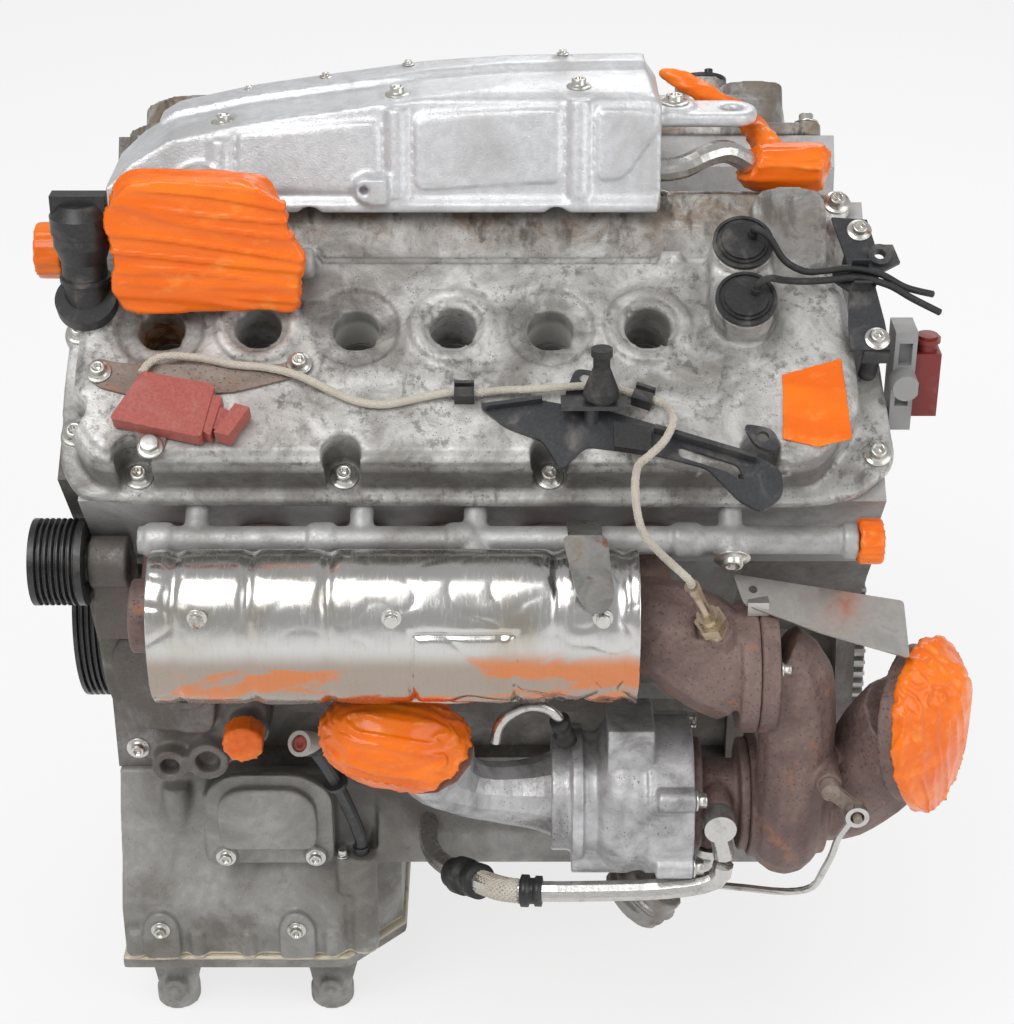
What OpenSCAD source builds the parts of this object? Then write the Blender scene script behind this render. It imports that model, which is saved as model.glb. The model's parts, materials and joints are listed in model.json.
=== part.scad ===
// Twelve-cylinder V engine with narrow-angle banks and two turbochargers.
// Origin: crankshaft axis on the gearbox face. X runs to the rear (gearbox), -Y is the left bank, Z is up.

/* [Banks] */
// Tilt of each bank from upright
bank_tilt = 36; // [32:0.5:40]
// Splay of the two cylinder rows within a bank
row_splay = 7.5; // [6:0.1:8]
// Offset of each row from the middle plane of its bank, at the crankshaft
row_offset = 12.5; // [11:0.1:14]
// Distance of the middle plane of a bank from the crankshaft axis
bank_mid = 22; // [16:0.5:28]
// Spacing of neighbouring cylinders along the crankshaft
cyl_pitch = 65; // [62:0.5:70]
// Cylinder bore
bore_d = 82; // [76:0.5:82.5]
// Height of the block deck above the crankshaft axis, along the bank
deck_z = 232; // [226:1:245]
// Height of the cylinder head, along the bank
head_h = 113; // [100:1:125]
// Rear face of the block to the axis of the last cylinder
rear_margin = 75; // [68:1:90]
// Front face of the block to the axis of the first cylinder
front_margin = 55; // [50:1:70]
// Length of the timing case
case_len = 92; // [80:1:110]
// Block wall outside the outer cylinder row, from the middle plane
block_out = 94; // [90:0.5:100]
// Block wall inside the inner cylinder row, from the middle plane
block_in = 90; // [86:0.5:96]

/* [Crank drive] */
// Stroke
stroke = 90.2; // [80:0.1:92]
// Main journal diameter
main_d = 60; // [54:1:66]
// Crankpin diameter
pin_d = 50; // [44:1:54]
// Running clearance of the shafts in their bearings, on the radius
run_gap = 0.08; // [0.03:0.01:0.1]
// Radius of the crank web
web_r = 62; // [54:1:70]
// Width of one bearing wall
wall_w = 20; // [16:1:24]
// Radius of the chambers for the crank webs
crank_room = 92; // [86:1:98]
// Piston length
piston_h = 42; // [36:1:43]
// Gap between piston and bore, on the radius
piston_gap = 0.3; // [0.2:0.05:0.6]
// Crank pulley diameter
pulley_d = 156; // [140:1:170]
// Flywheel diameter over the ring gear
flywheel_d = 270; // [250:1:280]

/* [Camshafts] */
// Distance of each camshaft from the coil wells
cam_reach = 55; // [53:0.5:58]
// Camshaft journal diameter
cam_d = 26; // [22:0.5:30]
// Camshaft sprocket diameter
sprocket_d = 74; // [70:1:78]

/* [Cam covers] */
// Height of the cover above its flange
cover_h = 50; // [44:1:56]
// Thickness of the cover flange
flange_t = 10; // [8:0.5:14]
// Overhang of the cover flange beyond the front face of the block
cover_front = 15; // [12:1:20]
// Lower edge of the cover flange
cover_lo = -84; // [-88:0.5:-80]
// Upper edge of the cover flange
cover_hi = 162; // [156:0.5:168]
// Wall of the cover
cover_wall = 6; // [4:0.5:8]
// Place of the coil wells across the bank
well_y = 25; // [22:0.5:28]
// Coil well diameter
well_d = 31; // [28:0.5:34]
// Wall of the coil well
well_wall = 5; // [4:0.5:7]

/* [Lower end] */
// Half width of the crankcase at its pan rail
rail_w = 150; // [144:1:160]
// Height of the lower crankcase frame
frame_h = 62; // [54:1:70]
// Height of the upper oil pan
pan_up_h = 66; // [56:1:76]
// Height of the sump
sump_h = 94; // [70:1:100]
// Length of the sump
sump_len = 180; // [150:1:190]
// Thickness of the plate that closes the sump
bottom_t = 12; // [8:1:16]
// Height of the upright wall of the sump
sump_wall_h = 61; // [50:1:70]
// Height of the feet under the sump
foot_h = 56; // [40:1:62]
// Diameter of the foot bores
foot_bore = 12; // [10:0.5:14]
// Gearbox flange radius
bell_r = 162; // [158:1:170]
// Radius of the gearbox bolt circle
bell_pcd_r = 150; // [146:0.5:152]
// Gearbox bolt hole diameter
bell_hole = 12.5; // [10:0.5:14]
// Number of gearbox bolts
bell_n = 8; // [6:1:10]

/* [Exhaust] */
// Sideways place of the turbocharger shaft
turbo_y = -282; // [-290:1:-276]
// Height of the turbocharger shaft
turbo_z = 6; // [0:1:12]
// Rear face of the compressor housing
comp_x = -132; // [-140:1:-126]
// Compressor wheel diameter
comp_wheel = 56; // [50:0.5:60]
// Turbine wheel diameter
turb_wheel = 52; // [46:0.5:56]
// Gap between wheel and housing
wheel_gap = 0.6; // [0.4:0.1:1]
// Turbocharger shaft diameter
turbo_shaft = 9; // [8:0.5:12]
// Front end of the heat shield
shield_x0 = -494; // [-500:1:-488]
// Rear end of the heat shield
shield_x1 = -175; // [-182:1:-170]
// Heat shield thickness
shield_t = 1.2; // [1:0.1:2]

/* [Intake] */
// Front end of the plenum
plenum_x0 = -530; // [-538:1:-524]
// Rear end of the plenum
plenum_x1 = -156; // [-164:1:-150]
// Height of the top of the plenum
plenum_top = 472; // [466:1:478]
// Half width of the plenum
plenum_w = 139; // [134:1:144]
// Wall of the plenum
plenum_wall = 5; // [4:0.5:7]
// Outer diameter of the throttle neck
neck_d = 72; // [66:1:76]

/* [Front end] */
// Thickness of the front cover
front_t = 15; // [12:1:18]
// Diameter of the accessory pulley
acc_d = 60; // [52:1:66]
// Sideways place of the accessory pulley
acc_y = -250; // [-253:1:-248]
// Height of the accessory pulley
acc_z = 176; // [172:1:180]
// Rear face of the accessory pulley
acc_x = -548; // [-552:0.5:-547.5]

/* [Hidden] */
$fn = 40;
n_cyl = 6;
bt = bank_tilt;
block_x1 = -case_len;
cyl_x = [for (i = [0:n_cyl - 1]) block_x1 - rear_margin - cyl_pitch * (n_cyl - 1 - i)];
block_x0 = cyl_x[0] - front_margin;
main_x = [for (i = [0:n_cyl]) cyl_x[0] + cyl_pitch * (i - 0.5)];
flange_z = deck_z + head_h;
top_z = flange_z + cover_h;
cover_x0 = block_x0 - cover_front;
cover_x1 = -2;
head_x0 = block_x0;
head_x1 = -8;
pan_z = -frame_h - pan_up_h;
sump_x0 = block_x0 - 14;
sump_z = pan_z - sump_h;
split_z = sump_z + bottom_t;
shelf_z = sump_z + sump_wall_h;
well_r = well_d / 2;
tube_r = well_r + well_wall;
cam_y = [well_y - cam_reach, well_y + cam_reach];
cam_z = flange_z;
pulley_x1 = block_x0 - front_t - 14;

function lerp(a, b, t) = a + (b - a) * t;
function unit(v) = v / norm(v);
// Bank-local (y, z) to the part's (Y, Z), left bank.
function bk(y, z) = [y * cos(bt) - z * sin(bt), y * sin(bt) + z * cos(bt)];
function bk3(x, y, z) = [x, y * cos(bt) - z * sin(bt), y * sin(bt) + z * cos(bt)];
function flip(P) = [for (i = [len(P) - 1:-1:0]) [-P[i][0], P[i][1]]];
function both_sides(P) = concat(P, flip(P));
// Rounds every corner of an outline.
function soft(P, r, n = 3) = [for (i = [0:len(P) - 1]) let (a = P[(i + len(P) - 1) % len(P)], b = P[i], c = P[(i + 1) % len(P)],
  p = b + unit(a - b) * min(r, 0.45 * norm(a - b)), q = b + unit(c - b) * min(r, 0.45 * norm(c - b)))
  for (k = [0:n]) let (s = k / n) (1 - s) * (1 - s) * p + 2 * s * (1 - s) * b + s * s * q];
function cr(a, b, c, d, t) = 0.5 * ((2 * b) + (c - a) * t + (2 * a - 5 * b + 4 * c - d) * t * t + (3 * b - a - 3 * c + d) * t * t * t);
// Smooth path through points, m steps between neighbours.
function curve(P, m = 4) = concat([for (i = [0:len(P) - 2]) for (k = [0:m - 1]) cr(P[max(i - 1, 0)], P[i], P[i + 1], P[min(i + 2, len(P) - 1)], k / m)], [P[len(P) - 1]]);
function heading(P, i) = unit(P[min(i + 1, len(P) - 1)] - P[max(i - 1, 0)]);
function rad(R, i, n) = is_list(R) ? (let (t = i / n * (len(R) - 1), k = min(floor(t), len(R) - 2)) lerp(R[k], R[k + 1], t - k)) : R;

// Round section swept along a path; R is one radius or a list spread over the path.
module sweep(P, R, n = 10, ref = [0, 0, 1]) {
  m = len(P);
  pts = [for (i = [0:m - 1]) let (t = heading(P, i), a = unit(cross(ref, t)), b = cross(t, a), r = rad(R, i, m - 1))
    for (k = [0:n - 1]) P[i] + r * (a * cos(360 * k / n) + b * sin(360 * k / n))];
  faces = concat([[for (k = [0:n - 1]) k]], [[for (k = [n - 1:-1:0]) (m - 1) * n + k]],
    [for (i = [0:m - 2]) for (k = [0:n - 1]) let (k2 = (k + 1) % n) each [[i * n + k, (i + 1) * n + k, (i + 1) * n + k2], [i * n + k, (i + 1) * n + k2, i * n + k2]]]);
  polyhedron(points = pts, faces = faces, convexity = 6);
}
// Outline in (Y, Z) extruded from x0 to x1.
module xex(x0, x1) translate([x0, 0, 0]) rotate([90, 0, 90]) linear_extrude(height = x1 - x0, convexity = 6) children();
// Outline in (X, Z) extruded from y0 to y1.
module yex(y0, y1) translate([0, y1, 0]) rotate([90, 0, 0]) linear_extrude(height = y1 - y0, convexity = 6) children();
module xcyl(x0, x1, r) translate([x0, 0, 0]) rotate([0, 90, 0]) cylinder(h = x1 - x0, r = r);
module ycyl(y0, y1, r) translate([0, y0, 0]) rotate([-90, 0, 0]) cylinder(h = y1 - y0, r = r);
module bank() rotate([bt, 0, 0]) children();
module side(s) mirror([0, s, 0]) children();
module box(a, b) translate(a) cube(b - a);

// ---- block ----
deck_lo = bank_mid - block_out;
deck_hi = bank_mid + block_in;
valley_z = deck_hi / sin(bt);
block_half = [[-rail_w, 0], [-rail_w, 14], bk(deck_lo, deck_z * 0.465), bk(deck_lo, deck_z), bk(deck_hi, deck_z)];
block_pts = concat(block_half, [[0, valley_z]], flip(block_half));
module row_axes() {
  for (i = [0:n_cyl - 1]) {
    o = i % 2 == 0 ? -1 : 1;
    translate([cyl_x[i], bank_mid + o * row_offset, 0]) rotate([-o * row_splay, 0, 0]) children();
  }
}
module crank_room_cut() {
  for (i = [0:n_cyl - 1]) xcyl(cyl_x[i] - (cyl_pitch - wall_w) / 2, cyl_x[i] + (cyl_pitch - wall_w) / 2, crank_room);
  xcyl(block_x0 - 1, block_x1 + 1, main_d / 2 + run_gap);
}
module crankcase() color([0.52, 0.52, 0.53]) difference() {
  xex(block_x0, block_x1) polygon(block_pts);
  crank_room_cut();
  for (s = [0, 1]) side(s) bank() row_axes() translate([0, 0, 66]) cylinder(h = deck_z, r = bore_d / 2, $fn = 64);
}
module bedplate() color([0.6, 0.6, 0.6]) difference() {
  xex(block_x0, block_x1) polygon([[-rail_w, 0], [-rail_w, -12], [-rail_w + 14, -20], [-rail_w + 14, -frame_h + 10], [-rail_w, -frame_h + 8], [-rail_w, -frame_h],
    [rail_w, -frame_h], [rail_w, -frame_h + 8], [rail_w - 14, -frame_h + 10], [rail_w - 14, -20], [rail_w, -12], [rail_w, 0]]);
  crank_room_cut();
}
module timing_case() color([0.62, 0.62, 0.62]) difference() {
  union() {
    xex(block_x1, 0) polygon(concat([[-rail_w, -frame_h]], block_half, [[0, valley_z]], flip(block_half), [[rail_w, -frame_h]]));
    xcyl(-14, 0, bell_r);
  }
  xex(block_x1 - 1, -12) polygon(concat([[-rail_w + 12, -frame_h + 8]], [[-rail_w + 12, 10], bk(deck_lo + 10, deck_z * 0.48), bk(deck_lo + 10, deck_z + 1), bk(deck_hi - 10, deck_z + 1), [-2, valley_z - 14]],
    [[2, valley_z - 14]], flip([[-rail_w + 12, -frame_h + 8], [-rail_w + 12, 10], bk(deck_lo + 10, deck_z * 0.48), bk(deck_lo + 10, deck_z + 1), bk(deck_hi - 10, deck_z + 1)])));
  xcyl(-20, 1, 52);
  bell_holes() xcyl(-20, 1, bell_hole / 2);
}
module bell_holes() for (k = [0:bell_n - 1]) rotate([90 + 360 * (k + 0.5) / bell_n, 0, 0]) translate([0, -bell_pcd_r, 0]) children();

// ---- lower end ----
pan_up_pts = both_sides([[-rail_w - 36, pan_z], [-rail_w - 30, -frame_h - 40], [-rail_w - 6, -frame_h - 10], [-rail_w - 6, -frame_h]]);
sump_y = rail_w + 46;
well_pts = both_sides([[-sump_y, split_z], [-sump_y, shelf_z], [-rail_w - 28, pan_z], [-rail_w - 18, -frame_h - 30], [-rail_w - 6, -frame_h - 8], [-rail_w - 6, -frame_h]]);
// Outline of the sump from above, grown by k.
module sump_plan(k) polygon([[sump_x0 - k, -sump_y - k], [sump_x0 + sump_len - 8 + k, -sump_y - k], [sump_x0 + sump_len + 36 + k, -rail_w - k],
  [sump_x0 + sump_len + 36 + k, rail_w + k], [sump_x0 + sump_len - 8 + k, sump_y + k], [sump_x0 - k, sump_y + k]]);
dip_at = [sump_x0 + sump_len + 7, -rail_w - 35];
lug_x = [sump_x0 + 30, sump_x0 + 136];
nub_x = [sump_x0 + 8, sump_x0 + 57, sump_x0 + 97, sump_x0 + 163];
module oil_pan_upper() color([0.55, 0.55, 0.54]) difference() {
  union() {
    xex(sump_x0 + sump_len + 20, -30) polygon(pan_up_pts);
    intersection() {
      xex(sump_x0, sump_x0 + sump_len + 40) polygon(well_pts);
      translate([0, 0, split_z]) linear_extrude(height = 200) sump_plan(0);
    }
    service_pad();
    for (x = nub_x) translate([x, -sump_y + 1, split_z]) cylinder(h = 24, r = 7);
    for (x = lug_x) yex(-sump_y - 8, -sump_y + 1) polygon(soft([[x - 14, split_z], [x + 14, split_z], [x + 14, split_z + 34], [x + 6, split_z + 46], [x - 6, split_z + 46], [x - 14, split_z + 34]], 6));
    translate([dip_at[0], dip_at[1], split_z]) cylinder(h = pan_z + 10 - split_z, r = 12);
    translate([dip_at[0] - 12.6, dip_at[1] - 5, pan_z - 24]) cylinder(h = 34.2, r = 6.4);
    for (x = [sump_x0 + 44, sump_x0 + 96]) translate([x, -rail_w - 13, -frame_h - 60]) cylinder(h = 52, r = 11);
  }
  xex(sump_x0 + 10, -40) polygon([[-rail_w + 20, -frame_h + 1], [-rail_w - 14, pan_z + 12], [rail_w + 14, pan_z + 12], [rail_w - 20, -frame_h + 1]]);
  xex(sump_x0 + 12, sump_x0 + sump_len - 14) polygon([[-sump_y + 10, split_z - 1], [-sump_y + 10, shelf_z + 6], [-rail_w - 14, pan_z + 13], [rail_w + 14, pan_z + 13], [sump_y - 10, shelf_z + 6], [sump_y - 10, split_z - 1]]);
}
foot_at = [for (x = [sump_x0 + 33, sump_x0 + sump_len - 22]) for (y = [-1, 1]) [x, y * (rail_w + 14)]];
module oil_pan_lower() color([0.5, 0.5, 0.49]) difference() {
  union() {
    translate([0, 0, sump_z]) linear_extrude(height = bottom_t) sump_plan(3);
    for (p = foot_at) translate([p[0], p[1], sump_z - foot_h]) {
      cylinder(h = foot_h + 3, r = 13);
      cylinder(h = 14, r = 17.5);
      yex(-9, 9) polygon([[-13, 9], [14, 9], [26, foot_h + 3], [-22, foot_h + 3]]);
      translate([0, 0, 22]) ycyl(min(0, sign(p[1]) * 22), max(0, sign(p[1]) * 22), 10);
    }
  }
  for (p = foot_at) translate([p[0], p[1], sump_z - foot_h]) {
    translate([0, 0, -1]) cylinder(h = 31, r = foot_bore / 2);
    translate([0, 0, 22]) ycyl(sign(p[1]) > 0 ? 18 : -23, sign(p[1]) > 0 ? 23 : -18, 5);
  }
}
service_x = [-491, -394];
service_y = -rail_w - 36;
module service_pad() box([service_x[0] - 3, service_y, pan_z + 2], [service_x[1] + 0.5, -rail_w - 4, -frame_h - 2]);
module pan_service_cover() color([0.58, 0.58, 0.57]) difference() {
  union() {
    yex(service_y - 6, service_y) polygon(soft([[service_x[0], pan_z + 4], [service_x[1], pan_z + 4], [service_x[1], -frame_h + 4], [service_x[1] - 22, -frame_h + 20], [service_x[0] + 18, -frame_h + 20], [service_x[0], -frame_h + 4]], 10));
    yex(service_y - 14, service_y - 5) polygon(soft([[service_x[0] + 10, pan_z + 22], [service_x[1] - 12, pan_z + 22], [service_x[1] - 12, -frame_h - 2], [service_x[1] - 26, -frame_h + 12], [service_x[0] + 24, -frame_h + 12], [service_x[0] + 10, -frame_h]], 12));
    for (x = [service_x[0] + 14, service_x[1] - 14]) translate([x, 0, pan_z + 13]) ycyl(service_y - 10, service_y - 1, 9);
  }
}

// ---- heads ----
port_in_z = deck_z + 53;
port_out_z = deck_z + 58;
head_out = cover_lo + 4;
head_in = cover_hi - 4;
intake_r = 17;
module intake_ports(y0, y1) for (x = cyl_x) translate([x, 0, port_in_z]) ycyl(y0, y1, intake_r);
module cylinder_head(s) color([0.64, 0.64, 0.64]) side(s) bank() difference() {
  xex(head_x0, head_x1) polygon([[deck_lo, deck_z], [head_out, deck_z + 30], [head_out, flange_z], [head_in, flange_z], [head_in, flange_z - 25], [head_in - 28, deck_z + 30], [deck_hi, deck_z]]);
  row_axes() translate([0, 0, deck_z - 6]) cylinder(h = 14, r = bore_d / 2 - 3, $fn = 64);
  for (i = [0:n_cyl - 1]) translate([cyl_x[i], well_y, flange_z - 52]) {
    cylinder(h = 60, r = well_r);
    rotate([i % 2 == 0 ? -24 : 24, 0, 0]) translate([0, 0, -64]) cylinder(h = 68, r = 7);
  }
  difference() {
    box([head_x0 + 12, head_out + 10, flange_z - 38], [head_x1 - 12, head_in - 36, flange_z + 1]);
    for (x = main_x) box([x - 8, head_out, flange_z - 40], [x + 8, head_in, flange_z + 2]);
    for (x = cyl_x) translate([x, well_y, flange_z - 40]) cylinder(h = 44, r = tube_r);
  }
  box([block_x1 + 8, deck_lo + 20, deck_z - 1], [head_x1 - 12, deck_hi - 12, flange_z - 30]);
  for (y = cam_y) translate([0, y, cam_z]) xcyl(head_x0 + 12, head_x1 - 12, cam_d / 2 + run_gap);
  intake_ports(well_y + tube_r + 18, head_in + 4);
  for (x = cyl_x) translate([x, 0, port_out_z]) ycyl(head_out - 1, head_out + 54, 15);
}
cover_bolt_lo = [[-505, cover_lo + 16], [-369, cover_lo + 16], [-233, cover_lo + 16], [-97, cover_lo + 16]];
cover_bolt_in = [[-518, cover_hi - 12], [-396, cover_hi - 12], [-274, cover_hi - 12], [-152, cover_hi - 12]];
cover_bolt_end = [[cover_x0 + 8, 43], [cover_x1 - 12, cover_lo + 33], [cover_x1 - 26, cover_hi - 13], [cover_x0 + 12, -36]];
cover_bolts = concat(cover_bolt_lo, cover_bolt_in, cover_bolt_end);
bolt_seat = flange_z + flange_t + 2;
cover_outline = [[cover_x0 + 3, cover_lo + 24], [cover_x0 + 16, cover_lo + 4], [cover_x0 + 60, cover_lo], [cover_x1 - 60, cover_lo - 2], [cover_x1 - 26, cover_lo + 4], [cover_x1, cover_lo + 26], [cover_x1, cover_lo + 44],
  [cover_x1 - 7, 50], [cover_x1 - 22, cover_hi - 10], [cover_x1 - 40, cover_hi], [cover_x0 + 26, cover_hi], [cover_x0 + 4, cover_hi - 24], [cover_x0, 0]];
function body_line(k, hi) = soft([[cover_x0 + 12 + k, cover_lo + 34 + k], [cover_x0 + 30 + k, cover_lo + 8 + k], [cover_x1 - 56 - k, cover_lo + 8 + k], [cover_x1 - 24 - k, cover_lo + 50], [cover_x1 - 28 - k, 50], [cover_x1 - 42 - k, hi - k - 12], [cover_x1 - 56 - k, hi - k],
  [cover_x0 + 40 + k, hi - k], [cover_x0 + 14 + k, hi - 20 - k]], 12);
tower_at = [[-103, 34], [-103, 78]];
tower_h = 19;
step_y = 82;
module cam_cover(s) color([0.66, 0.66, 0.66]) side(s) bank() difference() {
  union() {
    difference() {
      translate([0, 0, flange_z]) union() {
        linear_extrude(height = flange_t) polygon(soft(cover_outline, 10));
        linear_extrude(height = cover_h - 14) polygon(body_line(0, cover_hi - 20));
        linear_extrude(height = cover_h - 10) polygon(body_line(4, cover_hi - 20));
        linear_extrude(height = cover_h - 4) polygon(body_line(2, step_y + 3));
        linear_extrude(height = cover_h) polygon(body_line(7, step_y));
        linear_extrude(height = cover_h + 2) polygon(soft([[-92, 72], [-44, 72], [-42, 126], [-50, cover_hi - 26], [-86, cover_hi - 26], [-94, 120]], 12));
      }
      for (p = cover_bolts) translate([p[0], p[1], bolt_seat]) cylinder(h = cover_h, r = 13);
    }
    for (p = cover_bolts) translate([p[0], p[1], flange_z]) cylinder(h = flange_t + 2, r = 11);
    for (p = tower_at) translate([p[0], p[1], flange_z + 20]) cylinder(h = cover_h - 20 + tower_h, r = 21.6);
    translate([0, 0, flange_z + 20]) linear_extrude(height = cover_h - 20 + tower_h - 6) polygon(soft([[-126, 30], [-124, 82], [-84, 84], [-80, 30], [-88, 12], [-116, 12]], 10));
    for (i = [1:2:5]) translate([cyl_x[i], well_y, flange_z]) cylinder(h = cover_h + 3.5, r = tube_r + 8);
    for (p = pad_at) translate([p[0] - 8, p[1] - 8, flange_z + 20]) cube([16, 16, cover_h - 18]);
  }
  for (i = [0:2:4]) translate([cyl_x[i], well_y, top_z - 4]) cylinder(h = 12, r = well_r + 14);
  for (i = [1:2:5]) translate([cyl_x[i], well_y, top_z - 0.5]) cylinder(h = 12, r = well_r + 5);
  for (x = cyl_x) translate([x, well_y, flange_z - 1]) {
    cylinder(h = cover_h + 8, r = well_r);
    for (a = [135, 315]) rotate([0, 0, a]) translate([well_r - 2, -2.5, cover_h - 10]) cube([6, 5, 20]);
  }
  difference() {
    translate([0, 0, flange_z - 1]) union() {
      linear_extrude(height = cover_h - 14 - cover_wall + 1) polygon(body_line(cover_wall, cover_hi - 20));
      linear_extrude(height = cover_h - cover_wall + 1) polygon(body_line(cover_wall + 6, step_y));
      translate([-84, 50, 0]) cube([34, 58, 41.5]);
    }
    for (x = cyl_x) translate([x, well_y, flange_z - 2]) cylinder(h = cover_h, r = tube_r);
    for (p = cover_bolts) translate([p[0], p[1], flange_z - 2]) cylinder(h = cover_h + 4, r = 15);
    for (p = tower_at) translate([p[0], p[1], flange_z + cover_h - 12]) cylinder(h = 30, r = 23);
  }
  for (p = cover_bolts) translate([p[0], p[1], flange_z - 1]) cylinder(h = flange_t + 4, r = 3.5);
  for (p = tower_at) translate([p[0], p[1], top_z + tower_h - 8]) cylinder(h = 12, r = plug_r + 0.2);
  for (p = pad_at) translate([p[0], p[1], top_z - 3]) cylinder(h = 9, r = 3);
}
pad_at = [[-150, 76], [-148, -4], [-272, -18], [-396, 82]];
plug_r = 17;
module adjuster_valves() color([0.12, 0.12, 0.13]) for (s = [0, 1]) side(s) bank() for (p = tower_at) translate([p[0], p[1], top_z + tower_h]) difference() {
  union() {
    translate([0, 0, -8]) cylinder(h = 9, r = plug_r);
    cylinder(h = 3, r = 20.5);
    cylinder(h = 5, r = 14.5);
    translate([6, 3, 0]) cylinder(h = 11, r = 3.4);
  }
  difference() {
    translate([0, 0, 1.6]) cylinder(h = 3, r = 18.4);
    translate([0, 0, 1]) cylinder(h = 5, r = 16.6);
  }
}

// ---- inside ----
throw_a = [0, 120, 240, 240, 120, 0];
module pistons() color([0.75, 0.75, 0.76]) for (s = [0, 1]) side(s) bank() for (i = [0:n_cyl - 1]) {
  o = i % 2 == 0 ? -1 : 1;
  a = throw_a[i] + (s == 0 ? -1 : 1) * 36 + o * row_splay;
  crown = deck_z - 2 - stroke / 2 * (1 - cos(a));
  translate([cyl_x[i], bank_mid + o * row_offset, 0]) rotate([-o * row_splay, 0, 0]) translate([0, 0, crown - piston_h]) difference() {
    cylinder(h = piston_h, r = bore_d / 2 - piston_gap, $fn = 64);
    translate([0, 0, -1]) cylinder(h = piston_h - 9, r = bore_d / 2 - 6);
    for (z = [piston_h - 6, piston_h - 12, piston_h - 18]) translate([0, 0, z]) difference() {
      cylinder(h = 1.6, r = bore_d / 2);
      translate([0, 0, -1]) cylinder(h = 4, r = bore_d / 2 - 3);
    }
    translate([0, 0, piston_h - 30]) rotate([0, 90, 0]) translate([0, 0, -50]) cylinder(h = 100, r = 10);
  }
}
web_t = (cyl_pitch - wall_w) / 2 - 15;
module crankshaft() color([0.45, 0.45, 0.46]) difference() {
  union() {
    xcyl(block_x0 - front_t - 40, cyl_x[0], main_d / 2 - 8);
    xcyl(block_x0 - 2, 1, main_d / 2);
    xcyl(-11.5, 2, 44);
    xcyl(block_x1 + 12, block_x1 + 30, 36);
    for (i = [0:n_cyl - 1]) rotate([throw_a[i], 0, 0]) {
      translate([0, 0, stroke / 2]) xcyl(cyl_x[i] - 14, cyl_x[i] + 14, pin_d / 2);
      for (m = [-1, 1]) translate([cyl_x[i] + m * (14 + web_t / 2 - 0.5) - web_t / 2, 0, 0]) {
        translate([0, 0, -12]) xcyl(0, web_t, web_r);
        translate([0, 0, stroke / 2]) xcyl(0, web_t, pin_d / 2 + 8);
      }
    }
  }
  for (i = [0:n_cyl - 1]) rotate([throw_a[i], 0, 0]) translate([cyl_x[i] - 13.5, -pin_d, -web_r - 14]) cube([27, pin_d * 2, web_r + 14 + stroke / 2 - pin_d / 2]);
  for (k = [0:7]) rotate([k * 45, 0, 0]) translate([0, 0, 34]) xcyl(-9, 3, 5);
}
module crank_pulley() color([0.2, 0.18, 0.17]) difference() {
  xcyl(pulley_x1 - 28, pulley_x1, pulley_d / 2);
  for (k = [0:4]) translate([pulley_x1 - 25 + k * 4.6, 0, 0]) groove(pulley_d / 2);
  xcyl(pulley_x1 - 29, pulley_x1 - 16, pulley_d / 2 - 14);
  xcyl(pulley_x1 - 30, pulley_x1 + 1, main_d / 2 - 8);
  for (k = [0:3]) rotate([k * 90, 0, 0]) translate([0, 0, 44]) xcyl(pulley_x1 - 30, pulley_x1 + 1, 9);
}
// V groove around a pulley rim of radius r.
module groove(r) rotate([0, 90, 0]) rotate_extrude() polygon([[r + 1, 0], [r - 3.4, 1.4], [r - 3.4, 2.2], [r + 1, 3.6]]);
module teeth_wheel(r, n, h, t) linear_extrude(height = t) polygon([for (k = [0:n - 1]) for (j = [0:3]) let (a = 360 / n * (k + [0, 0.3, 0.5, 0.8][j]), q = j < 2 ? r : r - h) [q * cos(a), q * sin(a)]]);
module flywheel() color([0.5, 0.48, 0.46]) translate([2, 0, 0]) rotate([0, 90, 0]) difference() {
  union() {
    cylinder(h = 5, r = flywheel_d / 2 - 8, $fn = 72);
    teeth_wheel(flywheel_d / 2, 90, 5, 11);
  }
  translate([0, 0, 5]) cylinder(h = 7, r = flywheel_d / 2 - 16, $fn = 72);
  translate([0, 0, -1]) cylinder(h = 8, r = 14);
  for (k = [0:7]) rotate([0, 0, k * 45]) translate([34, 0, -1]) cylinder(h = 8, r = 5);
  for (k = [0:5]) rotate([0, 0, k * 60]) translate([100, 0, -1]) cylinder(h = 8, r = 16);
}
module camshaft(s, k) color([0.42, 0.42, 0.43]) side(s) bank() translate([0, cam_y[k], cam_z]) {
  xcyl(head_x0 + 14, block_x1 + 44, cam_d / 2);
  for (i = [0:n_cyl - 1]) for (m = [-1, 1]) translate([cyl_x[i] + m * 16 - 5.5, 0, 0]) rotate([i * 60 + k * 110, 0, 0]) {
    xcyl(0, 11, cam_d / 2 + 4);
    translate([0, 0, 12]) xcyl(0, 11, 9);
  }
  translate([block_x1 + 16, 0, 0]) rotate([0, 90, 0]) teeth_wheel(sprocket_d / 2, 32, 3, 9);
  xcyl(block_x1 + 24, block_x1 + 40, 25);
}

// ---- front end ----
front_half = [[-rail_w, -frame_h], [-rail_w, 14], [-rail_w - 26, 60], [-rail_w - 52, 126], bk(deck_lo + 4, deck_z), bk(deck_hi - 14, deck_z)];
module front_cover() color([0.6, 0.6, 0.6]) difference() {
  union() {
    xex(block_x0 - front_t, block_x0) polygon(both_sides(front_half));
    for (s = [0, 1]) side(s) bank() xex(block_x0 - front_t, block_x0) polygon([[deck_lo + 6, deck_z - 4], [head_out + 16, deck_z + 30], [head_out + 16, flange_z], [head_in - 4, flange_z], [head_in - 4, flange_z - 27], [head_in - 32, deck_z + 30], [deck_hi - 6, deck_z - 4]]);
    xcyl(block_x0 - front_t - 10, block_x0 - 2, 46);
    for (a = [[-96, 60], [96, 60], [0, 130], [-60, -40], [60, -40]]) translate([0, a[0], a[1]]) xcyl(block_x0 - front_t - 5, block_x0 - 2, 13);
  }
  xcyl(block_x0 - front_t - 11, block_x0 + 1, main_d / 2 - 8 + 0.4);
  xcyl(block_x0 - 8, block_x0 + 1, main_d / 2 + 6);
}
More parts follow.
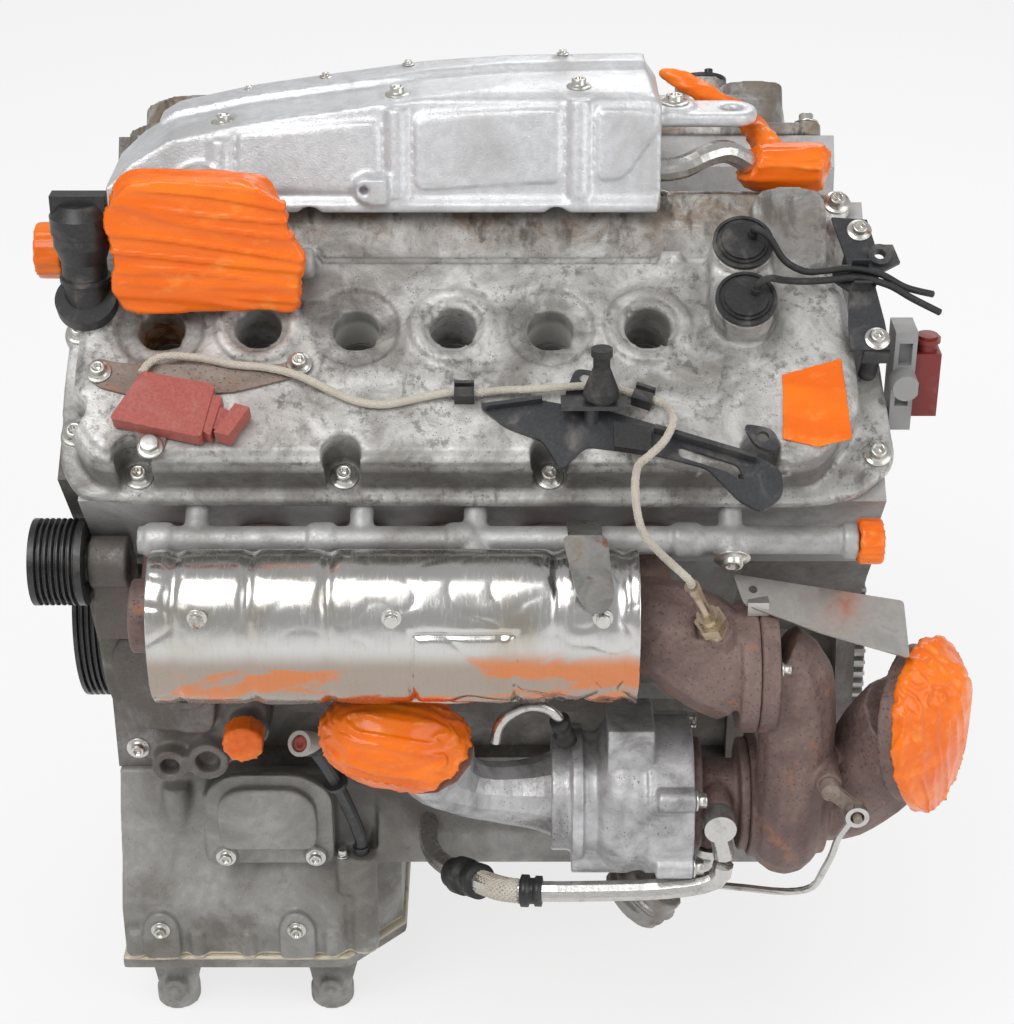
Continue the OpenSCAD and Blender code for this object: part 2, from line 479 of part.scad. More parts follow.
hub_x = [acc_x + 2, acc_x + 29];
plate_y = [-rail_w - 78, -rail_w - 55];
module accessory_bracket() color([0.45, 0.44, 0.43]) difference() {
  union() {
    yex(plate_y[0], plate_y[1]) polygon(soft([[-552, 112], [-550, 62], [-530, -2], [-470, -10], [-436, 12], [-434, 46], [-456, 66], [-458, 84], [-476, 108], [-500, 150], [-548, 150]], 12));
    yex(plate_y[0] - 7, plate_y[0] + 1) polygon(soft([[-544, 84], [-532, 30], [-474, 22], [-466, 76], [-480, 100], [-534, 108]], 12));
    translate([0, acc_y, acc_z]) xcyl(hub_x[0], hub_x[1], 18);
    box([hub_x[0], acc_y - 8, 118], [hub_x[1], plate_y[0] + 4, acc_z - 6]);
    for (p = bracket_legs) translate([p[0], 0, p[1]]) ycyl(plate_y[1] - 2, -rail_w, 12);
    for (p = bracket_eyes) translate([p[0], 0, p[1]]) ycyl(plate_y[0] - 14, plate_y[0] + 2, p[2]);
  }
  translate([0, acc_y, acc_z]) xcyl(hub_x[0] - 1, hub_x[1] + 1, 8 + run_gap);
  for (p = bracket_eyes) translate([p[0], 0, p[1]]) ycyl(plate_y[0] - 15, plate_y[0] - 2, p[2] - 6);
}
bracket_legs = [[-530, 8], [-448, 8]];
bracket_eyes = [[-478, 4, 15], [-506, 0, 13], [-489, 64, 15], [-449, 32, 12]];
module accessory_pulley() color([0.13, 0.13, 0.13]) translate([0, acc_y, acc_z]) difference() {
  union() {
    xcyl(acc_x - 36, acc_x, acc_d / 2);
    xcyl(acc_x - 1, hub_x[1] - 1, 8);
    xcyl(acc_x - 1, acc_x + 1.5, 14);
  }
  for (k = [0:6]) translate([acc_x - 32 + k * 4, 0, 0]) groove(acc_d / 2);
  xcyl(acc_x - 37, acc_x - 16, acc_d / 2 - 8);
}

// ---- intake ----
manifold_x0 = cyl_x[0] - 28;
manifold_x1 = cyl_x[5] + 28;
mani_half = [bk(head_in - 27, deck_z + 31) + [0.3, 0], bk(head_in, flange_z - 25) + [0.3, 0], bk(head_in, flange_z - 0.3) + [0.3, 0], bk(cover_hi + 0.6, flange_z - 0.3), bk(cover_hi + 0.6, flange_z + flange_t + 1), [-84, plenum_top - 72]];
module intake_manifold() color([0.66, 0.66, 0.66]) difference() {
  intersection() {
    xex(manifold_x0, manifold_x1) polygon(both_sides(mani_half));
    under_crown(-4, 300);
  }
  xex(manifold_x0 + 52, plenum_x1 - 12) polygon([[-30, 330], [-51, plenum_top - 71], [51, plenum_top - 71], [30, 330]]);
  for (s = [0, 1]) side(s) bank() intake_ports(head_in - 40, head_in + 14);
}
plenum_out = [[-84, plenum_top - 72], [-108, plenum_top - 70], [-plenum_w + 3, plenum_top - 84], [-plenum_w, plenum_top - 76], [-plenum_w + 18.4, plenum_top - 11], [-plenum_w + 27, plenum_top - 7], [-62, plenum_top - 2], [40, plenum_top + 2],
  [72, plenum_top - 26], [92, plenum_top - 48], [92, plenum_top - 70], [84, plenum_top - 72]];
plenum_in = [[-52, plenum_top - 73], [-60, plenum_top - 62], [-plenum_w + plenum_wall + 9, plenum_top - 68], [-plenum_w + plenum_wall + 23, plenum_top - 18], [-66, plenum_top - plenum_wall - 5], [40, plenum_top - plenum_wall], [66, plenum_top - 36], [52, plenum_top - 66], [52, plenum_top - 73]];
// Top line of the plenum along X, k above the body, reaching down by lo.
function crown(k, lo = 92) = [[plenum_x0 - 6, plenum_top - lo], [plenum_x0 - 6, plenum_top - 68], [plenum_x0 + 12, plenum_top - 48 + k], [plenum_x0 + 38, plenum_top - 33 + k], [-440, plenum_top - 22 + k], [-390, plenum_top - 15 + k],
  [-319, plenum_top - 5.5 + k], [-260, plenum_top - 1.5 + k], [plenum_x1 - 8, plenum_top + k], [plenum_x1, plenum_top - 11 + k], [plenum_x1, plenum_top - lo]];
// Everything under the top line; the right half falls away to the side.
module under_crown(k, lo = 92) {
  intersection() {
    yex(-250, 250) polygon(crown(k, lo));
    translate([0.6, -52, plenum_top]) rotate([-17.5, 0, 0]) translate([0, 0, -plenum_top]) yex(-300, 400) polygon(crown(k, 420));
  }
}
rib_x = [-456, -336, -212];
rib_z = [plenum_top - 32, plenum_top - 12, plenum_top - 6.5];
rib_y = -plenum_w + 35;
strip_at = [[-442, -23.5], [-388, -14], [-330, -5], [-222, 2.4]];
// Outer face of the plenum: X along the engine, Y up the face, Z outwards.
module flank() translate([0, -plenum_w, plenum_top - 76]) rotate([74.2, 0, 0]) children();
pads = [[rib_x[0] + 13, rib_x[1] - 13, 7, 7, 46, 53], [rib_x[1] + 13, rib_x[2] - 13, 8, 14, 57, 62]];
module plenum() color([0.72, 0.72, 0.72]) difference() {
  union() {
    intersection() {
      xex(plenum_x0 - 6, plenum_x1) polygon(plenum_out);
      under_crown(-4);
    }
    intersection() {
      xex(plenum_x0 + 26, plenum_x1 - 9) polygon([[-80, plenum_top - 50], [-80, plenum_top - 9], [-66, plenum_top + 4], [-20, plenum_top + 4], [-12, plenum_top - 10], [-12, plenum_top - 50]]);
      under_crown(2);
    }
    for (p = strip_at) translate([p[0], -60, plenum_top + p[1] - 8]) cylinder(h = 9, r = 4.6);
    for (i = [0:2]) {
      flank() translate([rib_x[i], 2, -4]) rotate([-90, 0, 0]) cylinder(h = (rib_z[i] - plenum_top + 76) / 0.9621 - 6, r = 9.5);
      translate([rib_x[i], rib_y, rib_z[i] - 16]) cylinder(h = 16.3, r = 10.3);
      translate([rib_x[i], rib_y, rib_z[i] - 8]) rotate([0, 0, -20]) cube([17, 11, 7.2]);
    }
    for (p = pads) flank() translate([0, 0, -2]) linear_extrude(height = 5) polygon(soft([[p[0], p[2]], [p[1], p[3]], [p[1], p[5]], [p[0], p[4]]], 5));
    flank() translate([0, 0, -2]) linear_extrude(height = 5) polygon(soft([[rib_x[2] + 13, 14], [plenum_x1 - 26, 16], [plenum_x1 - 3, 48], [plenum_x1 - 3, 60], [rib_x[2] + 13, 62]], 5));
    xex(plenum_x0 + 40, plenum_x1 - 2) polygon([[-plenum_w + 4, plenum_top - 84.5], [-plenum_w - 4, plenum_top - 83], [-plenum_w - 5, plenum_top - 78], [-plenum_w + 2, plenum_top - 72]]);
    translate([-356, 0, plenum_top - 66]) ycyl(-plenum_w - 9, -plenum_w + 6, 9);
    box([-355, -plenum_w - 8.5, plenum_top - 76], [-342, -plenum_w + 5.5, plenum_top - 58]);
    box([plenum_x1 - 4, -92, plenum_top - 40], [plenum_x1 + 52, -56, plenum_top - 30]);
    translate([plenum_x1 + 52, -74, plenum_top - 40]) cylinder(h = 10, r = 18);
    translate([plenum_x1 + 12, -74, plenum_top - 40]) cylinder(h = 13, r = 14);
    flank() translate([neck_x, 5, -3]) cylinder(h = 9, r = 20.2);
  }
  intersection() {
    xex(plenum_x0 + 50, plenum_x1 - 10) polygon(plenum_in);
    under_crown(-4 - plenum_wall);
  }
  translate([plenum_x1 + 52, -74, plenum_top - 42]) cylinder(h = 16, r = 7);
  for (i = [0:2]) translate([rib_x[i], rib_y, rib_z[i]]) cylinder(h = 30, r = 8.6);
  for (p = strip_at) translate([p[0], -60, plenum_top + p[1] + 1]) cylinder(h = 20, r = 4.6);
  translate([-358, 0, plenum_top - 66]) ycyl(-plenum_w - 20, -plenum_w + 2, 3.4);
  for (x = [-396, -227]) translate([x, 0, plenum_top - 88]) ycyl(-plenum_w - 20, -plenum_w + 30, 9);
}
neck_x = -470;
neck_seat = [-197, plenum_top - 80];
module throttle_neck() color([0.6, 0.6, 0.6]) difference() {
  union() {
    difference() {
      sweep(curve([[neck_x, -122, 406], [neck_x, -136, 404], [neck_x, -154, 401], [neck_x, -172, 398], [neck_x, -190, 393.5], [neck_x, -203, 392]], 3), [16, 18, 22, 28, 32, 34.5, 35], 16, [1, 0, 0]);
      flank() translate([neck_x - 100, -100, -194]) cube([200, 300, 200]);
    }
    translate([0, 0, neck_seat[1]]) yex(neck_seat[0] - 10, neck_seat[0]) polygon(soft([[neck_x - 48, -40], [neck_x + 54, -40], [neck_x + 52, 40], [neck_x - 47, 40]], 18));
    translate([0, -185, 369]) xcyl(neck_x + 20, neck_x + 80, 9);
    translate([0, -185, 369]) xcyl(neck_x + 72, neck_x + 78, 10.5);
    box([neck_x + 34, -196, 360], [neck_x + 50, -178, 378]);
  }
  translate([neck_x, 0, neck_seat[1]]) ycyl(-210, -192, 30);
}
fill_at = bk3(cover_x0 + 20, 42, top_z - 3);
module oil_filler_neck() color([0.16, 0.16, 0.16]) {
  difference() {
    union() {
      bank() translate([cover_x0 + 20, 42, top_z]) cylinder(h = 9, r = 20.5);
      intersection() {
        translate([fill_at[0], fill_at[1], fill_at[2] - 30]) cylinder(h = 80, r = 15);
        bank() translate([cover_x0 - 40, -40, top_z + 2]) cube([140, 200, 200]);
      }
      translate([fill_at[0], fill_at[1], fill_at[2] + 34]) cylinder(h = 12, r1 = 15, r2 = 19);
      translate([fill_at[0], fill_at[1], fill_at[2] + 46]) cylinder(h = 8, r = 19);
      translate([fill_at[0], fill_at[1], fill_at[2] + 20]) cylinder(h = 3, r = 17);
    }
    translate([fill_at[0], fill_at[1], fill_at[2] + 20]) cylinder(h = 50, r = 11);
  }
}
module oil_filler_cap() color([0.1, 0.1, 0.1]) translate([fill_at[0], fill_at[1], fill_at[2] + 54.3]) {
  cylinder(h = 12, r = 20);
  translate([0, 0, 12]) cylinder(h = 8, r1 = 20, r2 = 14);
  translate([-18, -6, 10]) cube([36, 12, 16]);
  translate([0, 0, -12]) cylinder(h = 12, r = 10);
}
outlet_at = [-20, 314];
module rear_pipe() sweep(concat([[plenum_x1, -112, 409]], curve([[plenum_x1 + 6, -112, 409], [plenum_x1 + 18, -113, 412], [plenum_x1 + 32, -109, 418], [plenum_x1 + 46, -102, 419], [plenum_x1 + 58, -96, 412], [plenum_x1 + 64, -93, 407]], 3)), 8, 10);
module coolant_outlet() color([0.5, 0.5, 0.5]) {
  translate([0, outlet_at[0], outlet_at[1]]) {
    xcyl(cover_x0 - 30, manifold_x0, 16);
    xcyl(cover_x0 - 26, cover_x0 - 20, 17.5);
    xcyl(manifold_x0 - 6, manifold_x0, 22);
  }
  rear_pipe();
}
rail_at = [-105, flange_z - 8];
module coolant_rails() color([0.68, 0.68, 0.68]) for (s = [0, 1]) side(s) bank() {
  translate([0, rail_at[0], rail_at[1]]) {
    xcyl(-506, -32, 9.5);
    for (x = [-500, -392, -300, -150]) xcyl(x, x + 16, 12);
    xcyl(-38, -28, 12.5);
  }
  for (x = [-468, -358, -282, -112]) translate([x, 0, rail_at[1]]) ycyl(rail_at[0], head_out, 8);
  for (x = [-282, -112]) translate([x, 0, rail_at[1]]) ycyl(rail_at[0] - 13, rail_at[0], 10);
}

// ---- exhaust ----
log_at = [-145, 303];
log_w = bk(log_at[0], log_at[1]);
joint_x = [-106, -93, -80];
joint_at = [-300, 122];
module exhaust_manifold(s) color([0.4, 0.28, 0.22]) side(s) difference() {
  union() {
  bank() {
    translate([0, log_at[0], log_at[1]]) xcyl(cyl_x[0] - 20, -196, 25);
    for (x = cyl_x) translate([x, 0, port_out_z + 2]) {
      ycyl(log_at[0] + 4, head_out - 4, 18);
      ycyl(head_out - 8, head_out, 22);
    }
  }
  sweep(curve([[-206, log_w[0], log_w[1]], [-184, log_w[0] - 1, log_w[1] - 2], [-150, -300, 150], [-124, -301, 132], [joint_x[0] + 1, joint_at[0], joint_at[1]]], 3), [25, 27, 33, 37, 38, 38], 12);
  translate([0, joint_at[0], joint_at[1]]) xcyl(joint_x[0], joint_x[1], 44);
  translate(probe_base) along(probe_dir) translate([0, 0, -24]) cylinder(h = 31, r = 11.5);
  }
  box([joint_x[1], -400, 60], [0, -200, 240]);
  translate(probe_base) along(probe_dir) translate([0, 0, 7]) cylinder(h = 30, r = 12.5);
}
shield_line = [[-304, 216], [-318, 217], [-334, 212], [-347, 198], [-354, 180], [-356, 162], [-354, 144], [-347, 128], [-336, 116]];
function normal_at(P, i) = let (d = unit(P[min(i + 1, len(P) - 1)] - P[max(i - 1, 0)])) [-d[1], d[0]];
function sheet(P, a, b) = concat([for (i = [0:len(P) - 1]) P[i] + normal_at(P, i) * a], [for (i = [len(P) - 1:-1:0]) P[i] + normal_at(P, i) * b]);
bead_x = [shield_x0 + 18, shield_x0 + 66, shield_x0 + 116, shield_x0 + 266, shield_x0 + 306];
module heat_shield(s) color([0.8, 0.78, 0.74]) side(s) difference() {
  union() {
    xex(shield_x0, shield_x1) polygon(sheet(shield_line, 0, shield_t));
    for (x = bead_x) xex(x - 5, x + 5) polygon(sheet(shield_line, -3, shield_t - 0.4));
    xex(shield_x0 + 172, shield_x0 + 238) polygon(sheet([for (i = [4:8]) shield_line[i]], -2, shield_t - 0.4));
    for (x = shield_bolt_x) translate([x, 0, 193]) {
      ycyl(-350, -228, 4);
      ycyl(-354, -344, 8);
    }
  }
  xex(shield_x1 - 18, shield_x1 + 1) polygon([[-330, 100], [-370, 100], [-370, 136], [-330, 118]]);
  bank() box([shield_x0, head_out, 200], [shield_x1, 200, flange_z]);
}
shield_bolt_x = [-459.5, -335, -199.5];
function volute(R0, R1, a0, a1, x, n) = [for (k = [0:n]) let (t = k / n, a = a0 + (a1 - a0) * t, R = lerp(R0, R1, t)) [x, turbo_y + R * cos(a), turbo_z + R * sin(a)]];
module turbine_housing(s) color([0.42, 0.27, 0.2]) side(s) difference() {
  union() {
    translate([0, joint_at[0], joint_at[1]]) xcyl(joint_x[1], joint_x[2], 44);
    sweep(concat(curve([[joint_x[2] - 2, joint_at[0], joint_at[1]], [joint_x[2] + 10, -303, 112], [joint_x[2] + 16, -310, 84], [-65, -315, 52]], 3), volute(34, 31, 184, 300, -66, 5)), [34, 33, 28, 26, 25, 24, 22], 14, [1, 0.02, 0.01]);
    sweep(volute(32, 25, 290, 500, -66, 9), [22.5, 13], 14, [1, 0.02, 0.01]);
    translate([0, turbo_y, turbo_z]) {
      xcyl(comp_x + 40, -42, 36);
      xcyl(comp_x + 40, comp_x + 47, 44);
      xcyl(-50, -38, 42);
    }
    sweep(curve([[-42, turbo_y, turbo_z], [-26, turbo_y - 2, turbo_z + 6], [-8, -292, 34], [4, -296, 58], [16, -303, 78]], 3), [34, 36, 37, 38, 40], 12);
    outlet_place() cylinder(h = 12, r = 54);
    translate([gate_at[0], 0, gate_at[1]]) ycyl(gate_y + 2, -300, 9);
  }
  translate([0, turbo_y, turbo_z]) xcyl(comp_x + 39, -50, turb_wheel / 2 + wheel_gap);
  outlet_place() {
    translate([0, 0, 4]) cylinder(h = 20, r = 34);
    translate([0, 0, 12]) cylinder(h = 60, r = 80);
  }
  box([-200, -400, 66], [joint_x[1], -200, 240]);
}
module outlet_place() translate([18, -304, 80]) rotate([0, 78, -30]) translate([0, 0, -6]) children();
module bearing_housings() color([0.36, 0.3, 0.27]) for (s = [0, 1]) side(s) translate([0, turbo_y, turbo_z]) difference() {
  union() {
    xcyl(comp_x, comp_x + 7, 40);
    xcyl(comp_x + 6, comp_x + 34, 25);
    xcyl(comp_x + 33, comp_x + 40, 40);
    translate([comp_x + 17, 0, 10]) ycyl(-41, 0, 10.6);
    translate([comp_x + 17, 0, 0]) rotate([180, 0, 0]) cylinder(h = 42, r = 11.4);
  }
  xcyl(comp_x - 1, comp_x + 41, turbo_shaft / 2 + run_gap);
}
lug_a = [60, 118, 205, 300];
module compressor_housing(s) color([0.78, 0.78, 0.78]) side(s) translate([0, turbo_y, turbo_z]) difference() {
  union() {
    xcyl(comp_x - 98, comp_x - 78, 40);
    xcyl(comp_x - 84, comp_x - 76, 50);
    xcyl(comp_x - 77, comp_x - 40, 44);
    translate([comp_x - 48, 0, 0]) rotate([0, 90, 0]) rotate_extrude() translate([36, 0]) circle(r = 20, $fn = 32);
    xcyl(comp_x - 50, comp_x - 32, 54);
    xcyl(comp_x - 32, comp_x, 56);
    for (a = lug_a) rotate([a, 0, 0]) translate([0, 0, 57]) xcyl(comp_x - 26, comp_x, 8);
    box([comp_x - 32, 25, -68], [comp_x - 14, 39, -44]);
    box([comp_x - 60, -34, 30], [comp_x - 28, 10, 74]);
    translate([comp_x - 52, 0, -34]) ycyl(0, 74, 21);
    translate([comp_x - 52, 0, -34]) ycyl(66, 74, 25);
    translate([comp_x - 84, -30, -32]) rotate([0, 90, 0]) cylinder(h = 40, r = 12);
  }
  xcyl(comp_x - 99, comp_x - 8, comp_wheel / 2 + wheel_gap);
  xcyl(comp_x - 16, comp_x + 1, comp_wheel / 2 + 6);
  translate([comp_x - 52, 0, -34]) ycyl(40, 76, 16);
}
module wheel(r, h, n) {
  cylinder(h = h, r1 = r * 0.62, r2 = r * 0.28);
  cylinder(h = 2.5, r = r * 0.92);
  for (k = [0:n - 1]) rotate([0, 0, k * 360 / n]) translate([0, -0.8, 1]) cube([r - 0.3, 1.6, h - 3]);
}
module turbo_rotor(s) color([0.6, 0.58, 0.56]) side(s) translate([0, turbo_y, turbo_z]) {
  xcyl(comp_x - 48, comp_x + 62, turbo_shaft / 2);
  translate([comp_x - 8, 0, 0]) rotate([0, -90, 0]) wheel(comp_wheel / 2, 30, 9);
  translate([comp_x + 46, 0, 0]) rotate([0, 90, 0]) wheel(turb_wheel / 2, 24, 10);
}
gate_at = [-44, 56];
gate_y = -346;
arm_l = 24;
arm_v = [0.75, -0.6614];
rod_v = [0.6614, 0.75];
pin_at = [gate_at[0] + arm_l * arm_v[0], gate_at[1] + arm_l * arm_v[1]];
can_at = [-158, -262, -92];
module wastegate_lever(s) color([0.4, 0.33, 0.28]) side(s) {
  translate([gate_at[0], 0, gate_at[1]]) {
    ycyl(gate_y - 7, gate_y + 1.7, 6.5);
    rotate([0, 41.4, 0]) translate([0, gate_y - 5, -5]) cube([arm_l, 5, 10]);
  }
  translate([pin_at[0], 0, pin_at[1]]) {
    ycyl(gate_y - 6, gate_y - 0.5, 7);
    ycyl(gate_y - 16, gate_y - 1, 3);
  }
}
module can_place() translate(can_at) rotate([0, 41.4, 0]) children();
module wastegate_rod(s) color([0.6, 0.6, 0.6]) side(s) {
  can_place() translate([0, 0, 4]) cylinder(h = 19, r = 2.6);
  sweep(curve([can_at + 22 * [rod_v[0], 0, rod_v[1]], [-139, -266, -71], [-131, -280, -66], [-116, -296, -63], [-92, -302, -62], [-62, -308, -61], [-47, -326, -43], [-43, -341, -18], [-40, -353, 5], [-37, gate_y - 10, 22], [pin_at[0] - 6 * rod_v[0], gate_y - 10.2, pin_at[1] - 6 * rod_v[1]]], 3), 2.6, 8, [0, 1, 0]);
  translate([pin_at[0], 0, pin_at[1]]) difference() {
    ycyl(gate_y - 13, gate_y - 7.5, 8);
    ycyl(gate_y - 14, gate_y - 7, 4.8);
  }
}
module wastegate_actuators() color([0.5, 0.5, 0.5]) for (s = [0, 1]) side(s) difference() {
  union() {
    can_place() {
      translate([0, 0, -17]) cylinder(h = 27, r = 26);
      translate([0, 0, -3]) cylinder(h = 3.5, r = 29);
      translate([0, 0, -11]) cylinder(h = 3, r = 27.5);
      translate([0, 0, 9]) cylinder(h = 4, r = 13);
    }
    box([comp_x - 33, -257, -84], [comp_x - 15, -243, turbo_z - 68]);
  }
  can_place() translate([0, 0, 0]) cylinder(h = 20, r = 3.3);
}
module turbine_shields() color([0.5, 0.46, 0.42]) for (s = [0, 1]) side(s) {
  translate([-110, -284, 185]) rotate([26.6, 10.2, 0]) difference() {
    union() {
      linear_extrude(height = shield_t) polygon(soft([[0, 0], [118, 0], [121, -45], [60, -36], [8, -23]], 3));
      translate([2, -1, -6]) cube([114, 1.2, 7]);
    }
    translate([14, -10, -1]) cylinder(h = 4, r = 3);
  }
  box([-101, -306, joint_at[1] + 44], [-87, -296, joint_at[1] + 54]);
}
module turbo_oil_pipes() color([0.7, 0.7, 0.7]) for (s = [0, 1]) side(s) {
  bx = comp_x + 17;
  translate([bx, 0, turbo_z + 10]) ycyl(turbo_y - 58, turbo_y - 41, 11);
  difference() {
    sweep(curve([[bx, turbo_y - 49.5, turbo_z + 2], [bx + 4, turbo_y - 49.5, turbo_z - 18], [bx - 1, turbo_y - 49, turbo_z - 38.5], [bx - 34, turbo_y - 47, turbo_z - 48], [bx - 84, turbo_y - 46, turbo_z - 51], [bx - 122, turbo_y - 45, turbo_z - 52], [bx - 148, turbo_y - 40, turbo_z - 54],
      [bx - 174, turbo_y - 16, turbo_z - 62], [bx - 194, turbo_y + 26, turbo_z - 80], [bx - 204, turbo_y + 64, turbo_z - 94], [bx - 207, turbo_y + 112, turbo_z - 104]], 3), 7.5, 10);
    xex(bx - 240, bx) polygon(pan_up_pts);
  }
  translate([bx, turbo_y, turbo_z - 42]) mirror([0, 0, 1]) cylinder(h = 6, r = 14);
  difference() {
    sweep(curve([[bx, turbo_y, turbo_z - 47], [bx, turbo_y + 10, turbo_z - 66], [bx, turbo_y + 40, turbo_z - 88], [bx, -rail_w - 44, turbo_z - 104], [bx, -rail_w - 20, turbo_z - 112]], 3), 10, 10, [1, 0, 0]);
    xex(bx - 20, bx + 20) polygon(pan_up_pts);
  }
}
module inlet_pipe() sweep(concat([[comp_x - 98, turbo_y, turbo_z]], curve([[comp_x - 104, turbo_y, turbo_z], [comp_x - 130, turbo_y - 2, turbo_z + 2], [comp_x - 154, turbo_y - 8, turbo_z + 10], [comp_x - 172, turbo_y - 14, turbo_z + 25], inlet_end], 3)), [30, 24, 21, 21, 26, 30], 12, [0, 1, 0]);
module compressor_inlet_pipes() color([0.72, 0.72, 0.72]) for (s = [0, 1]) side(s) inlet_pipe();

// ---- on the left cam cover ----
plate_t = 2.5;
module along(n) rotate([0, acos(n[2]), atan2(n[1], n[0])]) children();
module probe_module() color([0.48, 0.2, 0.17]) bank() translate([0, 0, top_z + plate_t]) {
  linear_extrude(height = 12) polygon(soft([[-499, -17], [-451, -27], [-458, -66], [-518, -52]], 3));
  linear_extrude(height = 11) polygon([[-459, -60], [-452.5, -34], [-446, -36], [-452, -64]]);
  linear_extrude(height = 14) polygon([[-440, -66], [-427.5, -45], [-437, -42], [-449.5, -63]]);
  translate([0, 0, 3]) linear_extrude(height = 7) polygon([[-452, -58], [-448, -42], [-440, -46], [-446, -60]]);
}
lead_z = top_z + 3.6;
lead_pts = [[-500.6, -16.2, lead_z + 6], [-496, -7, lead_z + 4], [-486, -1, lead_z + 2.2], [-464, -2, lead_z + 1.8], [-442, -7, lead_z + 1.8], [-420, -9.5, lead_z + 2.2], [-398, -16, lead_z + 3], [-375, -27, lead_z + 1], [-358, -34, lead_z], [-340, -36, lead_z], [-318, -31, lead_z], [-300, -28, lead_z + 1.4],
  [-278, -28, lead_z + 1.4], [-262, -27, lead_z + 3], [-245, -27, lead_z + 4], [-212, -24, lead_z + 3], [-196, -24, lead_z + 2], [-181, -27.7, lead_z + 1.4], [-163, -34.3, lead_z + 1.4], [-156, -44, lead_z + 8], [-154, -56, lead_z + 13], [-160, -70, lead_z + 14], [-170, -80, lead_z + 12]];
probe_base = [-122, -323, 162];
probe_dir = unit([-0.34, -0.42, 0.83]);
lead_end = probe_base + probe_dir * 62;
lead_path = concat([for (p = lead_pts) bk3(p[0], p[1], p[2])], [[-178, -318, 283], [-180, -335, 272], [-176, -343, 252], [-166, -345, 238]], [lead_end + probe_dir * 9, lead_end]);
module probe_lead() color([0.82, 0.78, 0.72]) sweep(curve(lead_path, 2), 2.6, 8);
module exhaust_probe() color([0.62, 0.56, 0.48]) translate(probe_base) along(probe_dir) {
  translate([0, 0, 7]) cylinder(h = 4, r = 10);
  translate([0, 0, 10]) cylinder(h = 9, r = 11, $fn = 6);
  translate([0, 0, 18]) cylinder(h = 8, r = 7.5);
  translate([0, 0, 25]) cylinder(h = 32, r = 4.2);
  translate([0, 0, 56]) cylinder(h = 5.8, r = 5);
}
module lead_clips() color([0.1, 0.1, 0.1]) bank() for (c = [[-289, -28, 0], [-172, -31, -20]]) translate([c[0], c[1], top_z]) rotate([0, 0, c[2]]) difference() {
  translate([-6.5, -6, 0]) cube([13, 12, 11]);
  translate([0, 0, 5]) xcyl(-8, 8, 3.1);
  translate([-8, 1, 6.4]) cube([16, 3, 6]);
}
module valve_leads() color([0.1, 0.1, 0.1]) {
  sweep(curve([bk3(-97, 81, top_z + tower_h + 11), bk3(-96, 80, top_z + tower_h + 15), bk3(-87, 75, top_z + tower_h + 13), bk3(-76, 66, top_z + 18), bk3(-62, 61, top_z + 12), bk3(-48, 62, top_z + 11), bk3(-30, 64, top_z + 11), bk3(-11, 60, top_z + 10), bk3(6, 52, top_z + 6), [26, -186, 347]], 3), 2.4, 8, [1, 0.2, 0]);
  sweep(curve([bk3(-97, 37, top_z + tower_h + 11), bk3(-96, 38, top_z + tower_h + 15), bk3(-88, 43, top_z + tower_h + 13), bk3(-76, 50, top_z + 18), bk3(-62, 53, top_z + 12), bk3(-48, 55, top_z + 10), bk3(-26, 57, top_z + 10), bk3(-6, 52, top_z + 9), bk3(10, 44, top_z + 5), [30, -196, 338]], 3), 2.4, 8, [1, 0.2, 0]);
}
harness_bolts = [[-22, 97], [-16, 12]];
harness_z = top_z + 3;
module harness_bracket() color([0.2, 0.2, 0.21]) bank() difference() {
  union() {
    translate([0, 0, harness_z]) linear_extrude(height = 3) polygon([[-40, 108], [-16, 106], [-12, 86], [0, 86], [4, 72], [-10, 64], [-14, 52], [-10, 26], [-8, 4], [-34, 4], [-34, 26], [-32, 50], [-42, 58], [-42, 66], [-30, 66]]);
    for (p = harness_bolts) translate([p[0], p[1], flange_z + flange_t]) cylinder(h = harness_z - flange_z - flange_t + 1, r = 6);
    translate([-25, 2, harness_z - 12]) cube([17, 3, 13]);
    translate([-10, 76, harness_z]) cylinder(h = 7, r = 8);
    translate([-30, 50, harness_z + 2.9]) cube([12, 17, 1.6]);
    for (y = [49, 66.4]) translate([-30, y, harness_z + 2.9]) cube([12, 1.6, 11]);
  }
  translate([-10, 76, harness_z - 1]) cylinder(h = 10, r = 4);
}
module rear_connectors() color([0.3, 0.3, 0.3]) {
  difference() {
    box([cover_x1 + 1, -212, 258], [14, -186, 330]);
    for (z = [276, 306]) box([2, -213, z], [11, -205, z + 16]);
  }
  box([head_x1, -208, 258], [0, -190, 266]);
  translate([6, 0, 296]) ycyl(-228, -211, 9);
  box([14, -207, 266], [32, -189, 312]);
  translate([23, -198, 311]) cylinder(h = 12, r = 7);
  translate([23, -198, 318]) cylinder(h = 3, r = 9);
}
stud_z = bk(-40, top_z + 10)[1];
stud_y = bk(-40, top_z + 10)[0];
module cover_stud() color([0.09, 0.09, 0.09]) {
  translate([-200, stud_y, stud_z + 3]) {
    cylinder(h = 3, r = 9);
    translate([0, 0, 2.9]) cylinder(h = 5, r = 11.5);
    translate([0, 0, 7.9]) cylinder(h = 16, r1 = 11.5, r2 = 5.6);
    translate([0, 0, 23.8]) cylinder(h = 9, r = 5.6);
    translate([0, 0, 32]) cylinder(h = 5, r = 7);
  }
  bank() translate([0, 0, top_z + 3]) linear_extrude(height = 7) polygon([[-192, -52], [-168, -56], [-168, -74], [-192, -70]]);
}
